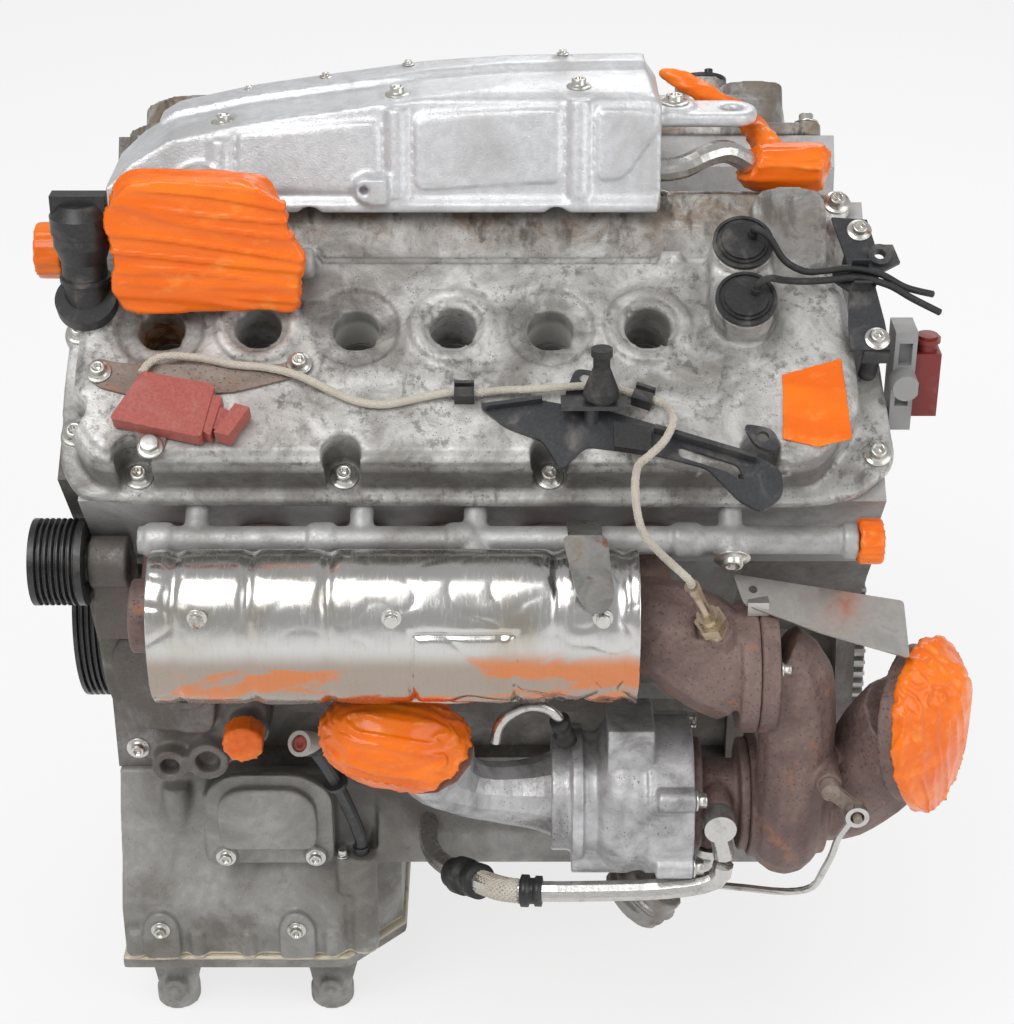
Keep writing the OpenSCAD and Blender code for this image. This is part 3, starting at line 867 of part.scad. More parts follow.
module cover_brackets() {
  color([0.14, 0.14, 0.15]) {
    bank() {
      difference() {
        translate([0, 0, top_z]) linear_extrude(height = 3) polygon(soft([[-278, -38], [-250, -30], [-222, -36], [-196, -40], [-166, -50], [-98, -74], [-84, -84], [-84, -102], [-98, -114], [-112, -106], [-132, -82], [-166, -72], [-210, -66], [-226, -84], [-238, -62], [-262, -52]], 5));
        translate([0, 0, top_z - 1]) linear_extrude(height = 5) polygon(soft([[-150, -66], [-112, -80], [-108, -92], [-122, -84], [-150, -74]], 3));
      }
      translate([0, 0, top_z + 2.9]) linear_extrude(height = 8) polygon([[-165, -54], [-100, -76], [-101, -79], [-166, -57]]);
      translate([0, 0, top_z + 2.9]) linear_extrude(height = 6) polygon([[-278, -38], [-238, -32], [-238, -34.5], [-277, -40.5]]);
      difference() {
        translate([0, 0, top_z]) linear_extrude(height = 4) polygon(soft([[-108, -50], [-88, -54], [-84, -66], [-88, -71], [-100, -67]], 6));
        translate([-95, -60, top_z - 1]) cylinder(h = 6, r = 4);
      }
      difference() {
        translate([0, 0, top_z]) linear_extrude(height = 2) polygon(soft([[-216, -8], [-202, -10], [-208, -38], [-224, -30]], 5));
        translate([-210, -15, top_z - 1]) cylinder(h = 4, r = 3.4);
      }
    }
    box([-226, stud_y - 9, stud_z], [-183, stud_y + 9, stud_z + 3]);
    difference() {
      translate([-206, stud_y, stud_z - 30]) cylinder(h = 31, r = 5);
      bank() translate([-300, -200, top_z - 80]) cube([200, 300, 81]);
    }
  }
  color([0.36, 0.24, 0.2]) bank() difference() {
    translate([0, 0, top_z]) linear_extrude(height = plate_t) polygon(soft([[-540, -10], [-532, 0], [-518, -4], [-470, -6], [-446, -6], [-410, -5], [-397, 1], [-388, -4], [-398, -14], [-440, -26], [-478, -28], [-484, -74], [-500, -74], [-502, -30], [-530, -22]], 4));
    for (p = module_bolts) translate([p[0], p[1], top_z - 1]) cylinder(h = 6, r = 3.2);
  }
  color([0.25, 0.26, 0.27]) {
    xex(-222, -200) polygon(sheet([[-276, 222], [-296, 231.4], [-322, 240], [-341, 237]], 0, 3));
    translate([0, -337, 239.4]) rotate([238, 0, 0]) difference() {
      translate([0, 0, -3]) linear_extrude(height = 3) polygon(soft([[-226, -4], [-197, -4], [-195, 18], [-192, 34], [-198, 46], [-210, 46], [-217, 34]], 5));
      translate([-204, 33, -2]) cylinder(h = 4, r = 4.5);
    }
  }
}
module_bolts = [[-530, -11], [-398, -5], [-492, -67]];

// ---- small pieces ----
module bolt(r, h, w) difference() {
  union() {
    cylinder(h = 1.6, r = w);
    translate([0, 0, 1.5]) cylinder(h = h, r = r);
  }
  translate([0, 0, h - 1.5]) cylinder(h = 6, r = r * 0.55, $fn = 6);
}
module hexbolt(r, h) {
  cylinder(h = 1.5, r = r * 1.25);
  translate([0, 0, 1.4]) cylinder(h = h, r = r, $fn = 6);
}
module fasteners() color([0.8, 0.8, 0.78]) {
  for (s = [0, 1]) side(s) {
    bank() for (p = cover_bolts) translate([p[0], p[1], bolt_seat]) {
      bolt(5.6, 6.5, 9.5);
      translate([0, 0, -flange_t - 1.5]) cylinder(h = flange_t + 2, r = 3.3);
    }
    bank() for (x = [-282, -112]) translate([x, rail_at[0] - 13, rail_at[1]]) rotate([90, 0, 0]) bolt(6, 5, 13);
    for (x = shield_bolt_x) translate([x, -354, 193]) rotate([90, 0, 0]) hexbolt(5, 5);
    translate([0, turbo_y, turbo_z]) for (a = lug_a) rotate([a, 0, 0]) translate([comp_x, 0, 57]) rotate([0, 90, 0]) hexbolt(5.5, 6);
    translate([0, joint_at[0], joint_at[1]]) for (a = [-80, -10, 60]) rotate([a, 0, 0]) translate([joint_x[2], 0, 39.4]) rotate([0, 90, 0]) hexbolt(3.6, 5);
  }
  for (i = [0:2]) {
    translate([rib_x[i], rib_y, rib_z[i]]) bolt(5, 5, 8);
  }
  for (p = strip_at) translate([p[0], -60, plenum_top + p[1] + 1]) cylinder(h = 2.5, r = 3.6);
  translate([plenum_x1 + 12, -74, plenum_top - 27]) bolt(6, 5, 9);
  bank() {
    for (p = [for (i = [0:1]) module_bolts[i]]) translate([p[0], p[1], top_z + plate_t]) bolt(5, 6, 7);
    translate([module_bolts[2][0], module_bolts[2][1], top_z + plate_t]) hexbolt(6.5, 6);
    for (p = harness_bolts) translate([p[0], p[1], harness_z + 3]) bolt(5, 5, 7.5);
  }
  for (x = [service_x[0] + 14, service_x[1] - 14]) translate([x, service_y - 10, pan_z + 13]) rotate([90, 0, 0]) bolt(4.6, 4, 6.5);
  for (p = bracket_legs) translate([p[0], plate_y[0], p[1]]) rotate([90, 0, 0]) bolt(5, 5, 8);
  for (a = [[-96, 60], [96, 60], [0, 130], [-60, -40], [60, -40]]) translate([block_x0 - front_t - 5, a[0], a[1]]) rotate([0, -90, 0]) bolt(5, 5, 8);
  translate([dip_at[0] - 14, dip_at[1] - 5, pan_z + 10.2]) hexbolt(4, 5);
  for (x = lug_x) translate([x, -sump_y - 8, split_z + 31]) rotate([90, 0, 0]) bolt(4.4, 5, 6.5);
}
dip_path = [[dip_at[0], dip_at[1], pan_z + 12], [dip_at[0], dip_at[1], pan_z + 24], [dip_at[0] - 6, dip_at[1] - 5, pan_z + 50], [dip_at[0] - 14, dip_at[1] - 19, pan_z + 86], [dip_at[0] - 23, dip_at[1] - 31, pan_z + 116], [dip_at[0] - 31, dip_at[1] - 41, pan_z + 138]];
module dipstick_tube() color([0.2, 0.2, 0.2]) {
  translate([dip_at[0], dip_at[1], pan_z + 10]) cylinder(h = 6, r = 6.1);
  sweep(curve(dip_path, 3), 5, 10, [1, 0, 0]);
  translate(dip_path[3]) along(unit(dip_path[4] - dip_path[3])) translate([0, 0, 2.3]) cylinder(h = 4, r = 9);
  translate(dip_path[5]) along(unit([-0.4, -0.75, 0.52])) translate([0, 0, -5]) difference() {
    cylinder(h = 21, r = 9.4);
    translate([0, 0, 17]) cylinder(h = 5, r = 6.4);
  }
}
inlet_end = [comp_x - 180, turbo_y - 20, turbo_z + 43];
module port_tape() color([0.95, 0.45, 0.08]) {
  translate([neck_x, 0, neck_seat[1]]) {
    yex(neck_seat[0] - 20, neck_seat[0] - 10) polygon(soft([[-46, -43], [-30, -46], [14, -44], [50, -43], [60, -46], [70, -46], [72, -26], [76, -4], [66, 10], [66, 30], [40, 44], [0, 47], [-38, 43], [-53, 22], [-48, -10], [-51, -30]], 7));
    difference() {
      yex(neck_seat[0] - 12, neck_seat[0] + 8) polygon(soft([[-50, -12], [60, -12], [60, 26], [52, 43], [-38, 45], [-50, 34]], 14));
      yex(neck_seat[0] - 10, neck_seat[0] + 20) polygon(soft([[-48.5, -46], [54.5, -46], [52.5, 40.3], [-47.4, 40.3]], 17.7));
    }
  }
  translate([0, outlet_at[0], outlet_at[1]]) xcyl(cover_x0 - 50, cover_x0 - 30, 21);
  difference() {
    union() {
      sweep(concat([[plenum_x1 + 64, -93, 407]], curve([[plenum_x1 + 68, -91.5, 404], [plenum_x1 + 80, -88, 402], [plenum_x1 + 100, -88, 402], [plenum_x1 + 116, -90, 404], [plenum_x1 + 120, -91, 404]], 2)), [14, 17, 18, 17, 9], 10, [0, 1, 0]);
      sweep(curve([[plenum_x1 + 84, -84, 408], [plenum_x1 + 66, -48, 424], [plenum_x1 + 44, -42, 436], [plenum_x1 + 20, -38, 450], [plenum_x1 + 4, -36, 456]], 2), [9, 8, 8, 7, 3], 8);
    }
    rear_pipe();
  }
  bank() translate([0, 0, top_z + 0.1]) linear_extrude(height = 1.6) polygon([[-80, -12], [-40, 0], [-36, -60], [-60, -66], [-82, -60]]);
  translate([-449, 0, 32]) ycyl(plate_y[0] - 34, plate_y[0] - 14, 15);
  for (s = [0, 1]) side(s) {
    bank() translate([0, rail_at[0], rail_at[1]]) xcyl(-27.8, -12, 15);
    outlet_place() {
      translate([0, 0, 12.2]) cylinder(h = 9, r = 60);
      hull() {
        translate([-2, 0, 21]) cylinder(h = 2, r = 56, $fn = 24);
        translate([-22, 4, 40]) cylinder(h = 3, r = 12, $fn = 16);
      }
    }
    difference() {
      sweep(concat([inlet_end], curve([inlet_end + [-4, -1, 6], inlet_end + [-16, -3, 16], inlet_end + [-36, -4, 21], inlet_end + [-58, -4, 20], inlet_end + [-74, -3, 15]], 3)), [33, 35, 36, 35, 28, 12], 12, [0, 1, 0]);
      inlet_pipe();
    }
  }
}

crankcase();
bedplate();
oil_pan_upper();
oil_pan_lower();
pan_service_cover();
timing_case();
front_cover();
cylinder_head(0);  // cylinder_head_left
cylinder_head(1);  // cylinder_head_right
cam_cover(0);  // cam_cover_left
cam_cover(1);  // cam_cover_right
pistons();
crankshaft();
crank_pulley();
flywheel();
camshaft(0, 0);  // exhaust_camshaft_left
camshaft(0, 1);  // intake_camshaft_left
camshaft(1, 0);  // exhaust_camshaft_right
camshaft(1, 1);  // intake_camshaft_right
accessory_bracket();
accessory_pulley();
intake_manifold();
plenum();
throttle_neck();
oil_filler_neck();
oil_filler_cap();
coolant_outlet();
coolant_rails();
exhaust_manifold(0);  // exhaust_manifold_left
exhaust_manifold(1);  // exhaust_manifold_right
heat_shield(0);  // heat_shield_left
heat_shield(1);  // heat_shield_right
turbine_housing(0);  // turbine_housing_left
turbine_housing(1);  // turbine_housing_right
bearing_housings();
compressor_housing(0);  // compressor_housing_left
compressor_housing(1);  // compressor_housing_right
turbo_rotor(0);  // turbo_rotor_left
turbo_rotor(1);  // turbo_rotor_right
wastegate_lever(0);  // wastegate_lever_left
wastegate_lever(1);  // wastegate_lever_right
wastegate_rod(0);  // wastegate_rod_left
wastegate_rod(1);  // wastegate_rod_right
wastegate_actuators();
turbine_shields();
turbo_oil_pipes();
compressor_inlet_pipes();
probe_module();
probe_lead();
exhaust_probe();
lead_clips();
adjuster_valves();
valve_leads();
harness_bracket();
rear_connectors();
cover_stud();
cover_brackets();
fasteners();
dipstick_tube();
port_tape();
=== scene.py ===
"""Looks of a twelve-cylinder V engine with two turbochargers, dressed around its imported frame."""

import json
import logging
import math
from dataclasses import dataclass, field
from enum import Enum
from typing import Any, Sequence

import bmesh
import bpy
import numpy as np
from mathutils import Matrix, Vector, noise

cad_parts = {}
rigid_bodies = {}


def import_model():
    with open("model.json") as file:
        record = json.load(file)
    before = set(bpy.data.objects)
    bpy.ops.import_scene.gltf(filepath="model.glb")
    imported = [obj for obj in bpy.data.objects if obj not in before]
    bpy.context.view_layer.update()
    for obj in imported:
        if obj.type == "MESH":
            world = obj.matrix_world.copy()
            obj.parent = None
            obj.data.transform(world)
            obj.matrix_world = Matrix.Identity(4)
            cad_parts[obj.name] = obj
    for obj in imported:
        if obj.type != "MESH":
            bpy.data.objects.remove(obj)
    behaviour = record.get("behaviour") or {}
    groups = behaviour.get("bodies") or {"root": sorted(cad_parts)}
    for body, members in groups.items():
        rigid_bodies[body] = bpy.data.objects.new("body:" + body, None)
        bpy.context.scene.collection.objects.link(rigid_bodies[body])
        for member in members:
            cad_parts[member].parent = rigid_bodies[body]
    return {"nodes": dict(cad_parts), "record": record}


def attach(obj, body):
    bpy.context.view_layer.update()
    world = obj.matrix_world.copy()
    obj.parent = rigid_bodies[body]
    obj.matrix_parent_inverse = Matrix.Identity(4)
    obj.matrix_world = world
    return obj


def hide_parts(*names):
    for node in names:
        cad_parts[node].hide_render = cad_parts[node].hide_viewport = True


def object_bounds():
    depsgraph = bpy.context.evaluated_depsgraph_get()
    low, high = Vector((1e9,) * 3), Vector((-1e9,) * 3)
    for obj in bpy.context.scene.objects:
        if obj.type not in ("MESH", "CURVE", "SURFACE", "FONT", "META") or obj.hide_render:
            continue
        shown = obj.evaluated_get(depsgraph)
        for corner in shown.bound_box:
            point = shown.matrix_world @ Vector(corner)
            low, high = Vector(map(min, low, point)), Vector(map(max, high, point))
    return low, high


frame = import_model()
CAD_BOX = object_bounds()
log = logging.getLogger("engine")

MM = 0.001
ENGINE = "engine"

# The banks: their tilt, the front coil well's place along the crankshaft, the distance between
# every other well and the wells' place across the bank, in metres, and the cover's top, in
# millimetres.
BANK_TILT = math.radians(36.0)
FRONT_CYLINDER = -0.492
CYLINDER_PAIR = 0.13
WELL_Y = 0.025
TOP_Z = 395.0

# Directions: up, away from the middle on the left side, to the front and to the gearbox.
UP, OUT, AHEAD, BACK = (0, 0, 1), (0, -1, 0), (-1, 0, 0), (1, 0, 0)

Colour = tuple[float, float, float]
Point = tuple[float, float, float]
Steps = tuple[tuple[float, float], ...]


def from_bank(x: float, y: float, z: float) -> Vector:
    """Turns a place on the left bank, in millimetres, into the engine's frame in metres."""
    c, s = math.cos(BANK_TILT), math.sin(BANK_TILT)
    return Vector((x, y * c - z * s, y * s + z * c)) * MM


class Side(Enum):
    """The two banks of the engine."""

    LEFT = 1
    RIGHT = -1

    @property
    def word(self) -> str:
        """The word that ends a node's name."""
        return self.name.lower()

    def place(self, v: Vector) -> Vector:
        """Mirrors a place of the left bank to this bank."""
        return Vector((v[0], v[1] * self.value, v[2]))


# ---------------------------------------------------------------- shader graphs
class Wire:
    """One socket of a shader graph, which can be used in Python sums."""

    def __init__(self, graph: "Graph", socket: bpy.types.NodeSocket) -> None:
        """Keeps the graph and the socket."""
        self.graph, self.socket = graph, socket

    def _maths(self, operation: str, first: Any, second: Any = None) -> "Wire":
        """Adds one Math node and returns its result."""
        inputs = {0: first} if second is None else {0: first, 1: second}
        return self.graph.node("ShaderNodeMath", {"operation": operation}, inputs)

    def __add__(self, other: Any) -> "Wire":
        """Sum."""
        return self._maths("ADD", self, other)

    __radd__ = __add__

    def __sub__(self, other: Any) -> "Wire":
        """Difference."""
        return self._maths("SUBTRACT", self, other)

    def __rsub__(self, other: Any) -> "Wire":
        """Difference, the other way round."""
        return self._maths("SUBTRACT", other, self)

    def __mul__(self, other: Any) -> "Wire":
        """Product."""
        return self._maths("MULTIPLY", self, other)

    __rmul__ = __mul__

    def __pow__(self, other: Any) -> "Wire":
        """Power."""
        return self._maths("POWER", self, other)

    def __abs__(self) -> "Wire":
        """Size without its sign."""
        return self._maths("ABSOLUTE", self)

    def least(self, other: Any) -> "Wire":
        """The smaller of two values."""
        return self._maths("MINIMUM", self, other)

    def wrap(self, step: float) -> "Wire":
        """Distance to the nearest multiple of a step."""
        return self._maths("PINGPONG", self, step / 2)

    def ease(self, low: float, high: float, to_low: float = 0.0, to_high: float = 1.0) -> "Wire":
        """Maps low to to_low and high to to_high with soft ends.

        Args:
            low: Value at which the result starts to change.
            high: Value at which it stops.
            to_low: Result below low.
            to_high: Result above high.

        Returns:
            The eased value.
        """
        if low > high:
            low, high, to_low, to_high = high, low, to_high, to_low
        inputs = {0: self, 1: low, 2: high, 3: to_low, 4: to_high}
        return self.graph.node("ShaderNodeMapRange", {"interpolation_type": "SMOOTHSTEP"}, inputs)


class Graph:
    """A material under construction."""

    def __init__(self, name: str) -> None:
        """Makes an empty material with a Principled shader.

        Args:
            name: The material's name.
        """
        self.material = bpy.data.materials.new(name)
        self.material.use_nodes = True
        self.tree = self.material.node_tree
        self.shader = next(n for n in self.tree.nodes if n.type == "BSDF_PRINCIPLED")
        self._place: Wire | None = None

    def node(
        self,
        kind: str,
        settings: dict[str, Any] | None = None,
        inputs: dict[Any, Any] | None = None,
        out: int | str = 0,
    ) -> Wire:
        """Adds a node.

        Args:
            kind: The node's type.
            settings: Properties, set first.
            inputs: Socket to value or wire.
            out: The output that is returned.

        Returns:
            The wire from that output.
        """
        made = self.tree.nodes.new(kind)
        for key, value in (settings or {}).items():
            setattr(made, key, value)
        for key, value in (inputs or {}).items():
            self.set(made.inputs[key], value)
        return Wire(self, made.outputs[out])

    def set(self, socket: bpy.types.NodeSocket, value: Any) -> None:
        """Links a wire to a socket, or sets its constant.

        Args:
            socket: The socket.
            value: The wire or the constant.
        """
        if isinstance(value, Wire):
            self.tree.links.new(value.socket, socket)
        elif isinstance(value, tuple) and socket.type == "RGBA":
            socket.default_value = (*value, 1.0)
        else:
            socket.default_value = value

    @property
    def place(self) -> Wire:
        """Object coordinates, in metres."""
        if self._place is None:
            self._place = self.node("ShaderNodeTexCoord", out="Object")
        return self._place

    def axes(self) -> tuple[Wire, ...]:
        """The three object coordinates as numbers."""
        split = self.node("ShaderNodeSeparateXYZ", inputs={0: self.place}).socket.node
        return tuple(Wire(self, o) for o in split.outputs)

    def bank_axes(self) -> tuple[Wire, Wire, Wire]:
        """Coordinates along the nearer bank: along the crankshaft, across, and up."""
        x, y, z = self.axes()
        c, s = math.cos(BANK_TILT), math.sin(BANK_TILT)
        left = 0.0 - abs(y)
        return x, left * c + z * s, z * c - left * s

    def noise(
        self,
        scale: float,
        detail: float = 3.0,
        rough: float = 0.55,
        stretch: Point | None = None,
        warp: float = 0.0,
    ) -> Wire:
        """Noise from 0 to 1 over the piece.

        Args:
            scale: Features to the metre.
            detail: Number of finer layers.
            rough: Strength of the finer layers.
            stretch: Factors on the three axes before the noise.
            warp: Distortion.

        Returns:
            The noise value.
        """
        inputs = {"Vector": self.place, "Scale": stretch}
        if stretch is not None:
            inputs["Vector"] = self.node("ShaderNodeMapping", {"vector_type": "POINT"}, inputs)
        inputs |= {"Scale": scale, "Detail": detail, "Roughness": rough, "Distortion": warp}
        return self.node("ShaderNodeTexNoise", {}, inputs)

    def cells(self, scale: float) -> Wire:
        """Distance to the nearest cell point."""
        return self.node("ShaderNodeTexVoronoi", {}, {"Vector": self.place, "Scale": scale})

    def mix(self, factor: Wire, first: Any, second: Any) -> Wire:
        """Mixes two colours.

        Args:
            factor: 0 gives the first, 1 the second.
            first: Colour or wire.
            second: Colour or wire.

        Returns:
            The mixed colour.
        """
        made = self.node("ShaderNodeMix", {"data_type": "RGBA"}, out=2).socket.node
        for index, value in ((0, factor), (6, first), (7, second)):
            self.set(made.inputs[index], value)
        return Wire(self, made.outputs[2])

    def layers(self, tone: Wire, *over: tuple[Wire, Any]) -> Wire:
        """Lays colours over a tone, from the lowest up.

        Args:
            tone: The lowest colour.
            over: Mask and colour of each layer.

        Returns:
            The mixed colour.
        """
        for mask, colour in over:
            tone = self.mix(mask, tone, colour)
        return tone

    def inside(self, low: Point, high: Point, soft: float = 0.0004) -> Wire:
        """Mask of the places inside a box.

        Args:
            low: The box's low corner, in metres.
            high: Its high corner.
            soft: Width of the edge.

        Returns:
            The mask, from 0 to 1.
        """
        mask: Any = 1.0
        for axis, a, b in zip(self.axes(), low, high):
            mask = axis.ease(a, a + soft) * axis.ease(b, b - soft) * mask
        return mask

    def bump(
        self, height: Wire, distance: float, strength: float = 1.0, under: Wire | None = None
    ) -> Wire:
        """Bumps the surface.

        Args:
            height: The height, from 0 to 1.
            distance: What 1 stands for, in metres.
            strength: Strength of the effect.
            under: The normal underneath.

        Returns:
            The new normal.
        """
        inputs: dict[str, Any] = {"Height": height, "Distance": distance, "Strength": strength}
        if under is not None:
            inputs["Normal"] = under
        return self.node("ShaderNodeBump", {}, inputs)

    def shade(self, **sockets: Any) -> bpy.types.Material:
        """Sets the shader's sockets.

        Args:
            sockets: Socket names, with underscores, and their wires or constants.

        Returns:
            The material.
        """
        for key, value in sockets.items():
            socket = key.replace("_", " ").title().replace("Ior", "IOR")
            self.set(self.shader.inputs[socket], value)
        return self.material


# ---------------------------------------------------------------- finishes
@dataclass(frozen=True)
class Finish:
    """A finish that one slot of the record stands for."""

    def build(self, name: str) -> bpy.types.Material:
        """Makes the material of that name."""
        raise NotImplementedError


@dataclass(frozen=True)
class Mark:
    """A box, in metres, whose surfaces have a colour of their own."""

    low: Point
    high: Point
    tone: Colour


@dataclass(frozen=True)
class CastMetal(Finish):
    """Cast metal with grain, pores, stains and a film of dirt."""

    base: Colour
    light: Colour
    stain: Colour
    stain_level: float = 0.5
    pores: float = 0.4
    metallic: float = 0.55
    rough: tuple[float, float] = (0.38, 0.62)
    grain: float = 0.35
    patch: float = 14.0
    stain_rough: float = 0.12

    def colour(self, g: Graph) -> tuple[Wire, Wire]:
        """Mixes the colour.

        Args:
            g: The graph.

        Returns:
            The colour and the stain mask.
        """
        cloud = g.noise(self.patch, 6.0, 0.62, warp=0.6)
        fine = g.noise(self.patch * 9, 5.0, 0.6)
        tone = g.mix(fine.ease(0.3, 0.72), self.base, self.light)
        level = 0.75 - 0.35 * self.stain_level
        mask = (cloud * 0.75 + fine * 0.25).ease(level - 0.22, level + 0.1)
        speck = g.cells(420.0).ease(0.1, 0.24, 1.0, 0.0) * g.noise(60.0, 2.0).ease(0.48, 0.62)
        dark = tuple(c * 0.28 for c in self.stain)
        return g.layers(tone, (mask * 0.85, self.stain), (speck * self.pores, dark)), mask

    def weather(self, g: Graph, tone: Wire, normal: Wire, rough: Wire) -> tuple[Wire, Wire, Wire]:
        """Adds what a casting has on top of its skin: nothing on a plain one.

        Args:
            g: The graph.
            tone: The colour so far.
            normal: The normal so far.
            rough: The roughness so far.

        Returns:
            The colour, the normal and the roughness.
        """
        return tone, normal, rough

    def build(self, name: str) -> bpy.types.Material:
        """Makes the material.

        Args:
            name: The material's name.

        Returns:
            The material.
        """
        g = Graph(name)
        tone, mask = self.colour(g)
        grain = g.noise(620.0, 4.0, 0.65)
        pits = g.cells(420.0).ease(0.05, 0.22)
        normal = g.bump(grain + pits * 0.6, 0.0006, self.grain)
        rough = grain.ease(0.3, 0.7, *self.rough) + mask * self.stain_rough
        tone, normal, rough = self.weather(g, tone, normal, rough)
        return g.shade(base_color=tone, metallic=self.metallic, roughness=rough, normal=normal)


@dataclass(frozen=True)
class PanMetal(CastMetal):
    """Dull oil pan casting with a squeezed line of pale sealant round its joint."""

    joint: float = -0.2098
    sealant: Colour = (0.66, 0.6, 0.48)
    grime: Colour = (0.14, 0.12, 0.1)

    def weather(self, g: Graph, tone: Wire, normal: Wire, rough: Wire) -> tuple[Wire, Wire, Wire]:
        """Adds grime on the lower walls, and the sealant.

        Args:
            g: The graph.
            tone: The colour so far.
            normal: The normal so far.
            rough: The roughness so far.

        Returns:
            The colour, the normal and the roughness.
        """
        z = g.axes()[2]
        wander = (g.noise(60.0, 3.0, 0.6) - 0.5) * 0.0024
        gaps = g.noise(38.0, 3.0).ease(0.36, 0.46)
        bead = abs(z - self.joint + wander).ease(0.0036, 0.002) * gaps
        dirt = z.ease(-0.125, -0.16) * g.noise(30.0, 5.0, 0.62).ease(0.48, 0.66)
        tone = g.layers(tone, (dirt * 0.5, self.grime), (bead, self.sealant))
        return tone, g.bump(bead, 0.0012, 0.8, normal), rough


@dataclass(frozen=True)
class CoverMetal(CastMetal):
    """Weathered cam cover casting: stained round the coil wells, browner with painted shade under
    the plenum, and with painted shade down its outer side walls.
    """

    stain_rough: float = 0.14
    brown: Colour = (0.24, 0.165, 0.105)
    # Real soot, and painted shade where this colour darkens the inner side under the plenum.
    soot: Colour = (0.075, 0.068, 0.062)
    # Painted shade: the dark colour of the outer side walls.
    wall: Colour = (0.13, 0.12, 0.11)
    dome: Colour = (0.16, 0.15, 0.14)
    splash: Colour = (0.7, 0.69, 0.66)
    rust: tuple[Colour, Colour] = ((0.28, 0.12, 0.05), (0.5, 0.36, 0.24))
    bare: Colour = (0.85, 0.84, 0.81)
    dome_x: float = -0.068
    well_stain: tuple[float, float] = (0.052, 0.014)
    well_bore: tuple[float, float] = (0.0172, 0.0158)

    def weather(self, g: Graph, tone: Wire, normal: Wire, rough: Wire) -> tuple[Wire, Wire, Wire]:
        """Adds sooty stains and rust at the wells, brown stain and painted shade up the inner side
        under the plenum, painted shade on the outer side walls, and lumps.

        Args:
            g: The graph.
            tone: The colour so far.
            normal: The normal so far.
            rough: The roughness so far.

        Returns:
            The colour, the normal and the roughness.
        """
        x, across, up = g.bank_axes()
        cloud = g.noise(26.0, 6.0, 0.66, warp=0.8)
        streak = g.noise(90.0, 4.0, 0.6, (1.0, 0.35, 0.35))
        from_front = x - FRONT_CYLINDER
        along, aside = from_front.wrap(CYLINDER_PAIR), across - WELL_Y
        far = (along * along + aside * aside) ** 0.5
        well = far.ease(*self.well_stain) * cloud.ease(0.3, 0.62)
        # Painted shade: walls marks the band down the outer side walls that is painted dark.
        walls = up.ease(0.388, 0.376) * up.ease(0.352, 0.359) * across.ease(-0.05, -0.062)
        dome = x - self.dome_x
        dome = dome.ease(-0.026, -0.016) * dome.ease(0.026, 0.016) * across.ease(0.06, 0.075)
        spots = g.noise(34.0, 2.0).ease(0.66, 0.72) * g.noise(180.0, 3.0).ease(0.4, 0.6)
        bore = far.ease(*self.well_bore)
        rusty = from_front.ease(0.02, 0.03, 1.0, 0.0)
        deep = up.ease(0.372, 0.38, 1.0, 0.3)
        tone = g.layers(
            tone,
            (g.noise(150.0, 4.0, 0.7).ease(0.5, 0.62) * cloud.ease(0.4, 0.6) * 0.55, self.soot),
            (well * 0.7, self.soot),
            # brown stain and painted shade up the inner side, under the plenum
            (across.ease(0.075, 0.125) * cloud.ease(0.38, 0.62) * 0.8, self.brown),
            (across.ease(0.07, 0.13) * streak.ease(0.5, 0.66) * 0.7, self.soot),
            (streak.ease(0.56, 0.72) * cloud.ease(0.42, 0.6) * 0.6, self.soot),
            # painted shade down the outer side walls
            (walls * (0.45 + cloud * 0.6), self.wall),
            (dome * 0.55, self.dome),
            (spots * 0.7, self.splash),
            (bore * rusty * deep, g.mix(g.noise(160.0, 4.0).ease(0.4, 0.6), *self.rust)),
            (bore * (1.0 - rusty) * deep * 0.8, self.bare),
        )
        lumps = g.bump(g.noise(120.0, 4.0, 0.6), 0.0011, 0.35, normal)
        return tone, lumps, rough + well * 0.1


@dataclass(frozen=True)
class RustyIron(Finish):
    """Cast iron browned by heat, with a rough skin of rust."""

    base: Colour = (0.135, 0.088, 0.08)
    light: Colour = (0.27, 0.185, 0.165)
    orange: Colour = (0.36, 0.16, 0.08)
    ash: Colour = (0.42, 0.35, 0.29)
    pits: Colour = (0.035, 0.024, 0.02)

    def build(self, name: str) -> bpy.types.Material:
        """Makes the material.

        Args:
            name: The material's name.

        Returns:
            The material.
        """
        g = Graph(name)
        cloud = g.noise(22.0, 6.0, 0.62, warp=0.7)
        fine = g.noise(240.0, 5.0, 0.66)
        cells = g.cells(300.0)
        tone = g.layers(
            g.mix(cloud.ease(0.36, 0.66) * 0.6 + fine.ease(0.4, 0.7) * 0.4, self.base, self.light),
            (g.noise(48.0, 5.0, 0.6).ease(0.57, 0.72) * 0.7, self.orange),
            (fine.ease(0.62, 0.74) * cloud.ease(0.45, 0.6) * 0.55, self.ash),
            (cells.ease(0.1, 0.3, 1.0, 0.0) * 0.5, self.pits),
        )
        skin = fine + g.noise(900.0, 3.0, 0.6) * 0.5 + cells.ease(0.05, 0.4) * 0.5
        rough = fine.ease(0.3, 0.7, 0.42, 0.68)
        normal = g.bump(skin, 0.0009, 0.5)
        return g.shade(base_color=tone, metallic=0.25, roughness=rough, normal=normal)


